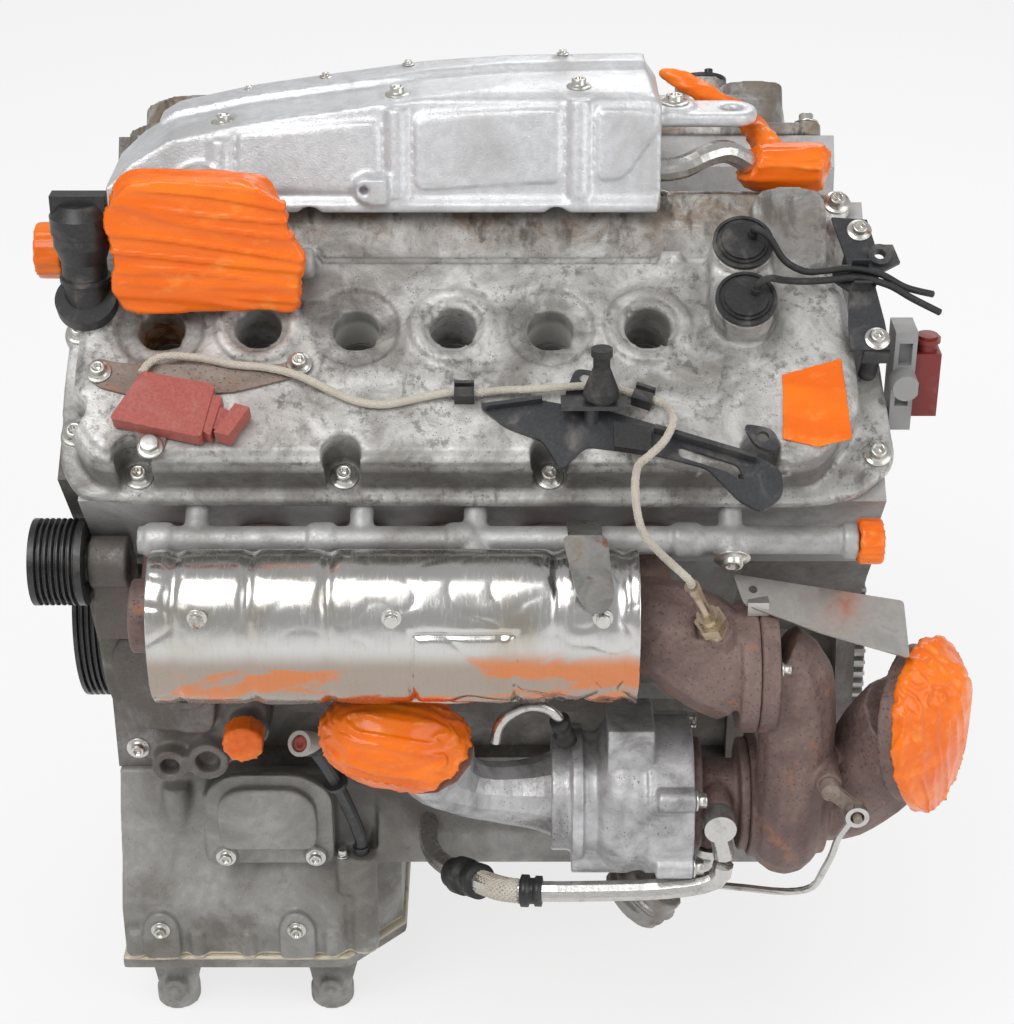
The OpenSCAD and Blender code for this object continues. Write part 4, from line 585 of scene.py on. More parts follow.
@dataclass(frozen=True)
class PolishedSheet(Finish):
    """Thin bright heat shield steel with fine dents and stains, a painted brownish reflection in
    broad patches, and a painted brown and orange reflection along its lower edge.
    """

    base: Colour = (0.66, 0.655, 0.64)
    # Painted reflection: a brownish tint laid over broad patches of the sheet.
    warm: Colour = (0.52, 0.46, 0.37)
    stain: Colour = (0.36, 0.29, 0.2)
    # Painted reflection: the brown of the lower edge and the orange patches on it stand in for what
    # the sheet mirrors there.
    burnt: Colour = (0.36, 0.28, 0.22)
    orange: Colour = (0.8, 0.22, 0.04)

    def build(self, name: str) -> bpy.types.Material:
        """Makes the material.

        Args:
            name: The material's name.

        Returns:
            The material.
        """
        g = Graph(name)
        _, across, z = g.axes()
        # Painted reflection: low marks the lower edge and glow marks the orange patches in it.
        low = z.ease(0.171, 0.155) * abs(across).ease(0.33, 0.34)
        glow = g.noise(30.0, 4.0, 0.6, (0.4, 1.0, 1.6), 0.6).ease(0.52, 0.6)
        tone = g.layers(
            # painted brownish reflection in broad patches
            g.mix(g.noise(14.0, 4.0, 0.5, warp=0.6).ease(0.5, 0.78) * 0.8, self.base, self.warm),
            (g.noise(80.0, 5.0, 0.6).ease(0.66, 0.78) * 0.45, self.stain),
            # painted brown and orange reflection along the lower edge
            (low * 0.8, self.burnt),
            (low * glow * 0.7, self.orange),
        )
        dents = g.noise(55.0, 3.0, 0.5, (0.6, 1.0, 1.0), 0.4)
        scuff = g.noise(420.0, 3.0, 0.6, (1.0, 0.2, 0.2))
        rough = scuff.ease(0.45, 0.75, 0.2, 0.34)
        normal = g.bump(dents, 0.0007, 0.4, g.bump(scuff, 0.0001, 0.25))
        return g.shade(base_color=tone, metallic=1.0, roughness=rough, normal=normal)


@dataclass(frozen=True)
class PlainMetal(Finish):
    """Turned, drawn or plated metal with fine scratches and a little dirt."""

    base: Colour
    dirt: Colour = (0.2, 0.16, 0.12)
    dirt_level: float = 0.4
    metallic: float = 0.9
    rough: tuple[float, float] = (0.2, 0.42)
    rust: float = 0.0
    rust_tone: Colour = (0.25, 0.1, 0.045)

    def build(self, name: str) -> bpy.types.Material:
        """Makes the material.

        Args:
            name: The material's name.

        Returns:
            The material.
        """
        g = Graph(name)
        fine = g.noise(300.0, 4.0, 0.6)
        cloud = g.noise(60.0, 5.0, 0.6, warp=0.5)
        tone = g.mix(fine.ease(0.35, 0.7) * 0.5, self.base, tuple(c * 0.82 for c in self.base))
        tone = g.mix(cloud.ease(0.64 - 0.2 * self.dirt_level, 0.78) * 0.8, tone, self.dirt)
        if self.rust:
            spots = g.noise(110.0, 5.0, 0.65).ease(0.62 - 0.2 * self.rust, 0.7)
            tone = g.mix(spots * 0.85, tone, self.rust_tone)
        scratch = g.noise(700.0, 2.0, 0.5, (0.15, 1.0, 1.0))
        rough = cloud.ease(0.3, 0.7, *self.rough)
        normal = g.bump(fine + scratch * 0.5, 0.0002, 0.35)
        return g.shade(base_color=tone, metallic=self.metallic, roughness=rough, normal=normal)


@dataclass(frozen=True)
class Polymer(Finish):
    """Moulded plastic or rubber with a fine skin, dust and scuffs."""

    base: Colour
    dust: Colour = (0.3, 0.27, 0.24)
    dust_level: float = 0.35
    rough: tuple[float, float] = (0.35, 0.6)
    marks: tuple[Mark, ...] = ()

    def build(self, name: str) -> bpy.types.Material:
        """Makes the material.

        Args:
            name: The material's name.

        Returns:
            The material.
        """
        g = Graph(name)
        fine = g.noise(520.0, 4.0, 0.6)
        cloud = g.noise(45.0, 5.0, 0.6, warp=0.6)
        worn = tuple(min(1.0, c * 1.5 + 0.01) for c in self.base)
        tone = g.mix(fine.ease(0.35, 0.7) * 0.6, self.base, worn)
        tone = g.layers(tone, *((g.inside(m.low, m.high), m.tone) for m in self.marks))
        tone = g.mix(cloud.ease(0.5, 0.78) * self.dust_level, tone, self.dust)
        rough = cloud.ease(0.35, 0.7, *self.rough)
        return g.shade(base_color=tone, roughness=rough, normal=g.bump(fine, 0.0003, 0.3))


@dataclass(frozen=True)
class TapeFilm(Finish):
    """Glossy adhesive tape: strong colour, fine ribs along the wrap and shallow creases, with
    painted shade in the low parts of the folds.
    """

    base: Colour = (1.0, 0.215, 0.008)
    # Painted shade: the darker orange given to the low parts of the folds.
    deep: Colour = (0.86, 0.145, 0.004)
    pale: Colour = (1.0, 0.36, 0.06)

    def build(self, name: str) -> bpy.types.Material:
        """Makes the material.

        Args:
            name: The material's name.

        Returns:
            The material.
        """
        g = Graph(name)
        fold = g.noise(38.0, 4.0, 0.55, (0.3, 1.0, 1.0), 0.5)
        thin = g.noise(90.0, 4.0, 0.6, (0.5, 1.0, 1.0)).ease(0.56, 0.78) * 0.6
        rib = g.noise(900.0, 2.0, 0.5, (1.0, 0.1, 0.35))
        crease = g.noise(60.0, 3.0, 0.5, (0.3, 1.0, 0.8), 0.5)
        relief = g.bump(rib, 0.0002, 0.35, g.bump(fold, 0.002, 0.35))
        return g.shade(
            # painted shade: darker orange where the fold's bump lies low
            base_color=g.mix(thin, g.mix(fold.ease(0.35, 0.7), self.deep, self.base), self.pale),
            roughness=g.noise(70.0, 3.0).ease(0.3, 0.7, 0.24, 0.42),
            specular_ior_level=0.3,
            coat_weight=0.3,
            coat_roughness=0.14,
            normal=g.bump(crease, 0.0018, 0.3, relief),
        )


@dataclass(frozen=True)
class Braid(Finish):
    """Woven glass sleeve, pale with darker soiled strands."""

    base: Colour = (0.62, 0.58, 0.5)
    soiled: Colour = (0.3, 0.25, 0.2)

    def build(self, name: str) -> bpy.types.Material:
        """Makes the material.

        Args:
            name: The material's name.

        Returns:
            The material.
        """
        g = Graph(name)
        cloud = g.noise(30.0, 4.0, 0.6)
        fine = g.noise(700.0, 3.0, 0.6)
        soil = cloud.ease(0.45, 0.75) * 0.5 + fine.ease(0.5, 0.75) * 0.3
        return g.shade(
            base_color=g.mix(soil, self.base, self.soiled),
            metallic=0.15,
            roughness=fine.ease(0.3, 0.7, 0.45, 0.7),
            normal=g.bump(fine, 0.0002, 0.5),
        )


CONNECTOR_MARKS = (
    Mark((-0.004, -0.23, 0.25), (0.0142, -0.183, 0.335), (0.3, 0.3, 0.3)),
    Mark((0.0142, -0.215, 0.262), (0.036, -0.183, 0.324), (0.2, 0.025, 0.02)),
)
DIPSTICK_MARK = Mark((-0.425, -0.25, 0.0095), (-0.39, -0.2225, 0.035), (0.62, 0.6, 0.56))

FINISHES: dict[str, Finish] = {
    "block_alloy": CastMetal((0.36, 0.355, 0.35), (0.46, 0.455, 0.45), (0.15, 0.13, 0.11), 0.6),
    "case_alloy": CastMetal((0.33, 0.32, 0.31), (0.47, 0.46, 0.45), (0.1, 0.085, 0.07), 0.8, 0.6),
    "pan_alloy": PanMetal(
        (0.33, 0.325, 0.31), (0.46, 0.455, 0.44), (0.17, 0.155, 0.135),
        pores=0.5, metallic=0.45, rough=(0.42, 0.62), grain=0.5,
    ),
    "head_alloy": CastMetal((0.5, 0.5, 0.5), (0.62, 0.62, 0.62), (0.24, 0.22, 0.2), 0.45),
    "cover_alloy": CoverMetal(
        (0.6, 0.595, 0.575), (0.88, 0.875, 0.86), (0.2, 0.185, 0.165),
        0.58, pores=0.85, metallic=0.5, rough=(0.36, 0.56), grain=0.45, patch=22.0,
    ),
    "piston_alloy": PlainMetal((0.72, 0.72, 0.73), dirt_level=0.2),
    "forged_steel": PlainMetal((0.42, 0.42, 0.43), dirt_level=0.3),
    "pulley_black": Polymer((0.022, 0.022, 0.023), rough=(0.25, 0.5), dust_level=0.25),
    "flywheel_iron": PlainMetal((0.4, 0.39, 0.38), rust=0.3),
    "intake_alloy": CastMetal(
        (0.6, 0.605, 0.62), (0.74, 0.745, 0.76), (0.36, 0.35, 0.34),
        0.22, pores=0.25, metallic=0.5, rough=(0.3, 0.46), grain=0.5, patch=18.0,
    ),
    "black_plastic": Polymer((0.018, 0.018, 0.019), marks=CONNECTOR_MARKS),
    "tube_steel": PlainMetal((0.62, 0.605, 0.58), dirt_level=0.6, rough=(0.16, 0.36)),
    "rail_alloy": CastMetal((0.5, 0.5, 0.5), (0.64, 0.64, 0.64), (0.22, 0.2, 0.18), 0.4, 0.5),
    "exhaust_iron": RustyIron(),
    "shield_steel": PolishedSheet(),
    "compressor_alloy": CastMetal(
        (0.5, 0.5, 0.51), (0.66, 0.66, 0.67), (0.13, 0.12, 0.115),
        0.42, pores=1.0, metallic=0.5, rough=(0.3, 0.5), grain=0.4, patch=30.0,
    ),
    "lever_steel": RustyIron((0.2, 0.15, 0.12), (0.36, 0.3, 0.26)),
    "canister_steel": PlainMetal((0.3, 0.29, 0.275), dirt_level=0.8, rust=0.25, rough=(0.25, 0.5)),
    "sheet_steel": PlainMetal((0.62, 0.6, 0.57), (0.4, 0.36, 0.32), 0.5, rough=(0.28, 0.46)),
    "module_red": Polymer((0.34, 0.075, 0.058), (0.46, 0.27, 0.23), 0.45),
    "lead_braid": Braid(),
    "probe_steel": PlainMetal((0.55, 0.45, 0.33), (0.24, 0.16, 0.1), 0.7),
    "black_rubber": Polymer((0.016, 0.016, 0.016), rough=(0.5, 0.7)),
    "bracket_black": Polymer(
        (0.034, 0.035, 0.038), dust_level=0.45, rough=(0.3, 0.5), marks=(DIPSTICK_MARK,)
    ),
    "bolt_steel": PlainMetal((0.66, 0.65, 0.61), dirt_level=0.6, rust=0.15),
    "tape_orange": TapeFilm(),
}


# ---------------------------------------------------------------- mesh helpers
def new_object(name: str, data: bpy.types.ID) -> bpy.types.Object:
    """Makes an object of a mesh, lamp or camera at the origin and links it to the scene."""
    made = bpy.data.objects.new(name, data)
    bpy.context.scene.collection.objects.link(made)
    return made


def drop(obj: bpy.types.Object) -> None:
    """Removes an object and its mesh.

    Args:
        obj: The object.
    """
    mesh = obj.data
    bpy.data.objects.remove(obj)
    bpy.data.meshes.remove(mesh)


def new_mesh(
    name: str,
    points: Sequence[Sequence[float]],
    faces: Sequence[tuple[int, ...]] = (),
    edges: Sequence[tuple[int, int]] = (),
) -> bpy.types.Mesh:
    """Makes a mesh.

    Args:
        name: The mesh's name.
        points: Its points.
        faces: The corners of its faces.
        edges: The ends of its loose edges.

    Returns:
        The mesh.
    """
    mesh = bpy.data.meshes.new(name)
    mesh.from_pydata([tuple(p) for p in points], edges, faces)
    return mesh


def merged_copy(node: str) -> bmesh.types.BMesh:
    """Copies a CAD node's mesh with its doubles merged.

    Args:
        node: The node's name.

    Returns:
        The copy, which the caller frees.
    """
    bm = bmesh.new()
    bm.from_mesh(frame["nodes"][node].data)
    bmesh.ops.remove_doubles(bm, verts=bm.verts, dist=2e-5)
    return bm


def islands(node: str) -> list[bpy.types.Mesh]:
    """Splits a CAD node's mesh into its separate solids.

    Args:
        node: The node's name.

    Returns:
        One mesh for each solid.
    """
    bm = merged_copy(node)
    left, made = set(bm.verts), []
    for first in list(bm.verts):
        if first not in left:
            continue
        left.discard(first)
        stack, group = [first], {first}
        while stack:
            for edge in stack.pop().link_edges:
                for vert in left.intersection(edge.verts):
                    left.discard(vert)
                    group.add(vert)
                    stack.append(vert)
        order = {v: i for i, v in enumerate(sorted(group, key=lambda v: v.index))}
        faces = sorted({f for v in group for f in v.link_faces}, key=lambda f: f.index)
        corners = [tuple(order[v] for v in f.verts) for f in faces]
        made.append(new_mesh("solid", [v.co for v in order], corners))
    bm.free()
    return made


def centre_of(mesh: bpy.types.Mesh) -> Vector:
    """Mean place of a mesh's points."""
    return sum((v.co for v in mesh.vertices), Vector()) / len(mesh.vertices)


def quads(rows: int, columns: int, closed: bool = False) -> list[tuple[int, ...]]:
    """Faces between neighbouring rows of points.

    Args:
        rows: Number of rows.
        columns: Points in a row.
        closed: Whether each row closes on itself.

    Returns:
        The corners of each face.
    """
    steps = [(k, (k + 1) % columns) for k in range(columns if closed else columns - 1)]
    starts = [(i * columns, (i + 1) * columns) for i in range(rows - 1)]
    return [(a + k, a + n, b + n, b + k) for a, b in starts for k, n in steps]


def from_rings(name: str, rings: Sequence[Sequence[Any]]) -> bpy.types.Mesh:
    """Joins rings of equally many points into a closed solid.

    Args:
        name: The mesh's name.
        rings: The rings, from one end to the other.

    Returns:
        The mesh.
    """
    n, last = len(rings[0]), len(rings) - 1
    caps = [tuple(range(n))[::-1], tuple(last * n + k for k in range(n))]
    return new_mesh(name, [p for ring in rings for p in ring], quads(last + 1, n, True) + caps)


def turned(profile: Steps, at: Vector, axis: Vector, sides: int = 36) -> bpy.types.Mesh:
    """Turns a profile into a solid.

    Args:
        profile: Radius and height of each ring, in millimetres.
        at: The place of height 0, in metres.
        axis: The direction in which the height grows.
        sides: Sides of each ring.

    Returns:
        The mesh.
    """
    turn = axis.to_track_quat("Z", "Y").to_matrix()
    ways = [(math.cos(a), math.sin(a)) for a in (2 * math.pi * k / sides for k in range(sides))]
    rings = [[at + turn @ Vector((r * c, r * s, h)) * MM for c, s in ways] for r, h in profile]
    return from_rings("turned", rings)


def baked(obj: bpy.types.Object) -> bpy.types.Mesh:
    """Works an object's modifiers into a new mesh.

    Args:
        obj: The object.

    Returns:
        The mesh.
    """
    bpy.context.view_layer.update()
    graph = bpy.context.evaluated_depsgraph_get()
    return bpy.data.meshes.new_from_object(obj.evaluated_get(graph))


def smooth_shaded(mesh: bpy.types.Mesh) -> bpy.types.Mesh:
    """Turns smooth shading on."""
    mesh.shade_smooth()
    return mesh


def remade(
    raw: bpy.types.Mesh, grid: float, passes: int, limit: int | None = None
) -> bpy.types.Mesh:
    """Rebuilds a closed mesh on an even grid and softens its edges.

    Args:
        raw: The mesh, which is used up.
        grid: Size of the grid's cells, in millimetres.
        passes: Rounds of smoothing.
        limit: Most triangles, if there is a limit.

    Returns:
        The new mesh.
    """
    source = new_object("remade_source", raw)
    remesh = source.modifiers.new("grid", "REMESH")
    remesh.mode, remesh.voxel_size = "VOXEL", grid * MM
    soft = source.modifiers.new("soft", "SMOOTH")
    soft.factor, soft.iterations = 0.5, passes
    mesh = baked(source)
    triangles = 2 * len(mesh.polygons)
    if limit and triangles > limit:
        source.modifiers.new("fewer", "DECIMATE").ratio = limit / triangles
        mesh = baked(source)
    drop(source)
    return mesh


@dataclass
class Shop:
    """Holds the materials and hangs each finished piece on its body."""

    materials: dict[str, bpy.types.Material] = field(default_factory=dict)

    def material(self, slot: str) -> bpy.types.Material:
        """The material of a slot, made on first use."""
        if slot not in self.materials:
            self.materials[slot] = FINISHES[slot].build(slot)
        return self.materials[slot]

    def slot_of(self, node: str) -> str:
        """The record's slot of a CAD node."""
        parts = frame["record"]["subparts"]
        return next(p["material_slot"] for p in parts if p["node"] == node)

    def hang(
        self,
        name: str,
        mesh: bpy.types.Mesh,
        slot: str,
        body: str = ENGINE,
        nodes: Sequence[str] = (),
    ) -> bpy.types.Object:
        """Finishes one piece.

        Args:
            name: The piece's name.
            mesh: Its mesh, in the engine's frame.
            slot: Its material slot.
            body: The body that it rides on.
            nodes: The CAD nodes that it stands for.

        Returns:
            The new object.
        """
        mesh.materials.clear()
        mesh.materials.append(self.material(slot))
        piece = new_object(name, mesh)
        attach(piece, body)
        if nodes:
            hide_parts(*nodes)
        log.info("%s: %d faces on %s", name, len(mesh.polygons), body)
        return piece

    def dress_nodes(self) -> None:
        """Gives every CAD node that still shows its finish."""
        for name, node in frame["nodes"].items():
            node.data.materials.clear()
            node.data.materials.append(self.material(self.slot_of(name)))


# ---------------------------------------------------------------- castings
@dataclass(frozen=True)
class Mould:
    """Castings that are softened alike: their nodes, grid, smoothing and triangle limit."""

    nodes: tuple[str, ...]
    grid: float
    passes: int
    limit: int


@dataclass
class Castings:
    """All visible castings: their CAD solids with edges rounded as a mould leaves them."""

    moulds: tuple[Mould, ...] = (
        Mould(
            (
                "compressor_housing_left", "compressor_housing_right", "throttle_neck",
                "pan_service_cover", "bearing_housings", "wastegate_actuators",
            ),
            1.4, 4, 50000,
        ),
        Mould(
            (
                "turbine_housing_left", "turbine_housing_right", "accessory_bracket",
                "coolant_rails", "exhaust_manifold_left", "exhaust_manifold_right",
            ),
            1.8, 4, 50000,
        ),
        Mould(
            ("cam_cover_left", "cam_cover_right", "plenum", "oil_pan_lower", "oil_pan_upper"),
            2.2, 3, 135000,
        ),
    )

    def build(self, shop: Shop) -> None:
        """Hangs each finished casting in place of its solid.

        Args:
            shop: Where the castings are hung.
        """
        for mould in self.moulds:
            for node in mould.nodes:
                bm = merged_copy(node)
                raw = bpy.data.meshes.new(node)
                bm.to_mesh(raw)
                bm.free()
                mesh = smooth_shaded(remade(raw, mould.grid, mould.passes, mould.limit))
                shop.hang(node + "_casting", mesh, shop.slot_of(node), nodes=[node])


# ---------------------------------------------------------------- geometry trees
class NodeTree:
    """A Geometry Nodes tree under construction."""

    def __init__(self, name: str, **inputs: tuple[str, Any]) -> None:
        """Makes the tree with a geometry socket and the named inputs.

        Args:
            name: The tree's name.
            inputs: Socket type and first value of each input.
        """
        self.group = bpy.data.node_groups.new(name, "GeometryNodeTree")
        face = self.group.interface
        for way in ("INPUT", "OUTPUT"):
            face.new_socket("Geometry", in_out=way, socket_type="NodeSocketGeometry")
        self.ids: dict[str, str] = {}
        for label, (kind, value) in inputs.items():
            made = face.new_socket(label, in_out="INPUT", socket_type=kind)
            if value is not None:
                made.default_value = value
            self.ids[label] = made.identifier
        self.start = self.group.nodes.new("NodeGroupInput")
        self.end = self.group.nodes.new("NodeGroupOutput")

    def given(self, label: str) -> bpy.types.NodeSocket:
        """The socket of an input."""
        return self.start.outputs[label]

    def add(
        self, kind: str, inputs: dict[Any, Any] | None = None, out: int | str = 0, **settings: Any
    ) -> bpy.types.NodeSocket:
        """Adds a node and returns one of its outputs.

        Args:
            kind: The node's type.
            inputs: Socket to value, socket or list of sockets.
            out: The output that is returned.
            settings: The node's properties, set first.

        Returns:
            The output socket.
        """
        made = self.group.nodes.new(kind)
        for key, value in settings.items():
            setattr(made, key, value)
        for key, value in (inputs or {}).items():
            for one in value if isinstance(value, list) else [value]:
                if isinstance(one, bpy.types.NodeSocket):
                    self.group.links.new(one, made.inputs[key])
                else:
                    made.inputs[key].default_value = one
        return made.outputs[out]

    def sum(self, operation: str, first: Any, second: Any = 0.0) -> bpy.types.NodeSocket:
        """Adds a Math node."""
        return self.add("ShaderNodeMath", {0: first, 1: second}, operation=operation)

    def vector(self, operation: str, first: Any, second: Any) -> bpy.types.NodeSocket:
        """Adds a Vector Math node; SCALE takes a number as its second value."""
        inputs = {0: first, "Scale" if operation == "SCALE" else 1: second}
        return self.add("ShaderNodeVectorMath", inputs, operation=operation)

    def finish(self, geometry: bpy.types.NodeSocket, material: bpy.types.Material) -> None:
        """Realizes the instances, sets the material and closes the tree.

        Args:
            geometry: What the tree has made.
            material: Its material.
        """
        real = self.add("GeometryNodeRealizeInstances", {0: geometry})
        last = self.add("GeometryNodeSetMaterial", {"Geometry": real, "Material": material})
        self.group.links.new(last, self.end.inputs[0])

    def run(self, mesh: bpy.types.Mesh, **values: Any) -> bpy.types.Mesh:
        """Runs the tree on a mesh.

        Args:
            mesh: The mesh that it starts from, which is used up.
            values: Values of the named inputs.

        Returns:
            The result as a plain, smooth-shaded mesh.
        """
        source = new_object("tree_source", mesh)
        modifier = source.modifiers.new("tree", "NODES")
        modifier.node_group = self.group
        for label, value in values.items():
            modifier[self.ids[label]] = value
        result = baked(source)
        source.modifiers.remove(modifier)
        drop(source)
        return smooth_shaded(result)


def smooth_path(points: Sequence[Vector], steps: int = 6) -> list[Vector]:
    """A smooth path through points.

    Args:
        points: The points.
        steps: Steps between neighbours.

    Returns:
        The path's points.
    """
    last = len(points) - 1
    path = []
    for i in range(last):
        a, b, c, d = (points[min(max(i + k, 0), last)] for k in (-1, 0, 1, 2))
        rise, bend, twist = c - a, 2 * a - 5 * b + 4 * c - d, 3 * b - a - 3 * c + d
        for t in (k / steps for k in range(steps)):
            path.append(0.5 * (2 * b + rise * t + bend * t * t + twist * t**3))
    return path + [points[-1]]


# ---------------------------------------------------------------- bolts
class Drive(Enum):
    """Shape of a bolt head."""

    SOCKET = "socket"
    HEX = "hex"


class Ring(Enum):
    """Outline of one ring of a turned head."""

    ROUND = "round"
    STAR = "star"
    SIX = "six"

    def radius(self, r: float, angle: float) -> float:
        """Radius of the outline at an angle.

        Args:
            r: The ring's own radius.
            angle: The angle, in radians.

        Returns:
            The radius.
        """
        if self is Ring.STAR:
            return r * (0.9 + 0.1 * math.cos(6 * angle))
        if self is Ring.SIX:
            part = (angle + math.pi / 6) % (math.pi / 3) - math.pi / 6
            return r * math.cos(math.pi / 6) / math.cos(part)
        return r


HEADS: dict[Drive, tuple[tuple[Ring, Steps], ...]] = {
    Drive.SOCKET: (
        (
            Ring.ROUND,
            (
                (1.62, 0.0), (1.7, 0.06), (1.7, 0.17), (1.6, 0.24), (1.26, 0.25), (1.2, 0.34),
                (1.04, 0.42), (1.0, 0.5), (1.0, 1.06), (0.95, 1.17), (0.84, 1.22), (0.68, 1.22),
            ),
        ),
        (Ring.STAR, ((0.62, 1.18), (0.6, 0.6))),
        (Ring.ROUND, ((0.3, 0.52),)),
    ),
    Drive.HEX: (
        (Ring.ROUND, ((1.25, 0.0), (1.32, 0.07), (1.32, 0.2), (1.22, 0.27), (1.02, 0.28))),
        (Ring.SIX, ((1.0, 0.3), (1.0, 1.06))),
        (Ring.ROUND, ((0.93, 1.2), (0.82, 1.24), (0.3, 1.25))),
    ),
}


@dataclass(frozen=True)
class Bolt:
    """One bolt: its seat and head size, in metres, and its direction."""

    seat: Vector
    axis: Vector
    size: Vector
    drive: Drive


def in_line(stations: Sequence[float], y: float, z: float) -> tuple[Point, ...]:
    """Places in a line along the crankshaft."""
    return tuple((x, y, z) for x in stations)


def in_circle(centre: Point, radius: float, degrees: Sequence[float]) -> tuple[Point, ...]:
    """Places round a circle across the crankshaft, at angles from its top.

    Args:
        centre: The circle's centre.
        radius: Its radius.
        degrees: The angles.

    Returns:
        The places.
    """
    x, y, z = centre
    angles = [math.radians(d) for d in degrees]
    return tuple((x, y - radius * math.sin(a), z + radius * math.cos(a)) for a in angles)


@dataclass(frozen=True)
class Row:
    """Bolts of one kind, in millimetres, in the engine's frame or that of the left bank."""

    seats: tuple[Point, ...]
    axis: Point
    radius: float
    height: float
    drive: Drive = Drive.SOCKET
    on_bank: bool = False

    def bolts(self, side: Side = Side.LEFT) -> list[Bolt]:
        """The row's bolts on one side.

        Args:
            side: The side.

        Returns:
            The bolts.
        """
        axis, seats = Vector(self.axis), [Vector(s) * MM for s in self.seats]
        if self.on_bank:
            axis = Matrix.Rotation(BANK_TILT, 4, "X") @ axis
            seats = [from_bank(*s) for s in self.seats]
        size = Vector((self.radius, self.radius, self.height)) * MM
        return [Bolt(side.place(s), side.place(axis), size, self.drive) for s in seats]


@dataclass
class Bolts:
    """All bolt heads with their washers."""

    sides: int = 30
    bank_rows: tuple[Row, ...] = (
        Row(
            in_line((-505, -369, -233, -97), -68, 357)
            + in_line((-518, -396, -274, -152), 150, 357)
            + ((-554, 43, 357), (-14, -51, 357), (-28, 149, 357), (-550, -36, 357)),
            UP, 5.6, 6.5, on_bank=True,
        ),
        Row(in_line((-282, -112), -118, 337), OUT, 7.2, 5.5, on_bank=True),
        Row(in_line((-459.5, -335, -199.5), -354, 193), OUT, 5, 5, Drive.HEX),
        Row(in_circle((-132, -282, 6), 57, (60, 118, 205, 300)), BACK, 5.5, 6, Drive.HEX),
        Row(in_circle((-80, -300, 122), 39.4, (-80, -10, 60)), BACK, 3.6, 5, Drive.HEX),
    )
    middle_rows: tuple[Row, ...] = (
        Row(((-456, -104, 440), (-336, -104, 460), (-212, -104, 465.5)), UP, 5, 5),
        Row(
            ((-442, -60, 449.7), (-388, -60, 459.2), (-330, -60, 468.2), (-222, -60, 475.6)),
            UP, 2.6, 2.4,
        ),
        Row(((-144, -74, 445),), UP, 6, 5),
        Row(((-530, -11, TOP_Z + 2.5), (-398, -5, TOP_Z + 2.5)), UP, 5, 6, on_bank=True),
        Row(((-492, -67, TOP_Z + 2.5),), UP, 6.5, 6, Drive.HEX, True),
        Row(((-22, 97, TOP_Z + 6), (-16, 12, TOP_Z + 6)), UP, 5, 5, on_bank=True),
        Row(in_line((-477, -408), -196, -115), OUT, 4.6, 4),
        Row(in_line((-530, -448), -228, 8), OUT, 5, 5),
        Row(
            ((-567, -96, 60), (-567, 96, 60), (-567, 0, 130), (-567, -60, -40), (-567, 60, -40)),
            AHEAD, 5, 5,
        ),
        Row(in_line((-531, -425), -204, -179), OUT, 4.4, 5),
        Row(((-388, -190, -117.8),), UP, 4, 5, Drive.HEX),
    )

    def head(self, drive: Drive) -> bpy.types.Mesh:
        """Turns one head of unit size.

        Args:
            drive: The kind of head.

        Returns:
            The mesh.
        """
        rings = []
        for outline, steps in HEADS[drive]:
            for r, z in steps:
                ring = []
                for angle in (2 * math.pi * k / self.sides for k in range(self.sides)):
                    reach = outline.radius(r, angle)
                    ring.append((reach * math.cos(angle), reach * math.sin(angle), z))
                rings.append(ring)
        return smooth_shaded(from_rings("head", rings))

    def tree(self, shop: Shop) -> NodeTree:
        """Makes the tree that sets a head on each point, as the point's attributes say.

        Args:
            shop: Where its material comes from.

        Returns:
            The tree.
        """
        tree = NodeTree("bolt_heads", Head=("NodeSocketObject", None))
        head = tree.add("GeometryNodeObjectInfo", {"Object": tree.given("Head")}, "Geometry")
        axis, size = (
            tree.add("GeometryNodeInputNamedAttribute", {"Name": label}, data_type="FLOAT_VECTOR")
            for label in ("axis", "size")
        )
        turn = tree.add("FunctionNodeAlignRotationToVector", {"Vector": axis}, axis="Z")
        heads = {"Points": tree.given("Geometry"), "Instance": head, "Rotation": turn}
        heads = tree.add("GeometryNodeInstanceOnPoints", {**heads, "Scale": size})
        tree.finish(heads, shop.material("bolt_steel"))
        return tree

    def build(self, shop: Shop) -> None:
        """Builds one piece for each kind of head.

        Args:
            shop: Where the pieces are hung.
        """
        bolts = [b for side in Side for row in self.bank_rows for b in row.bolts(side)]
        bolts += [b for row in self.middle_rows for b in row.bolts()]
        tree = self.tree(shop)
        for drive in Drive:
            chosen = [b for b in bolts if b.drive is drive]
            points = new_mesh("seats", [b.seat for b in chosen])
            for label in ("axis", "size"):
                layer = points.attributes.new(label, "FLOAT_VECTOR", "POINT")
                layer.data.foreach_set("vector", [c for b in chosen for c in getattr(b, label)])
            head = new_object("head_" + drive.value, self.head(drive))
            mesh = tree.run(points, Head=head)
            drop(head)
            shop.hang(drive.value + "_bolts", mesh, "bolt_steel", nodes=["fasteners"])


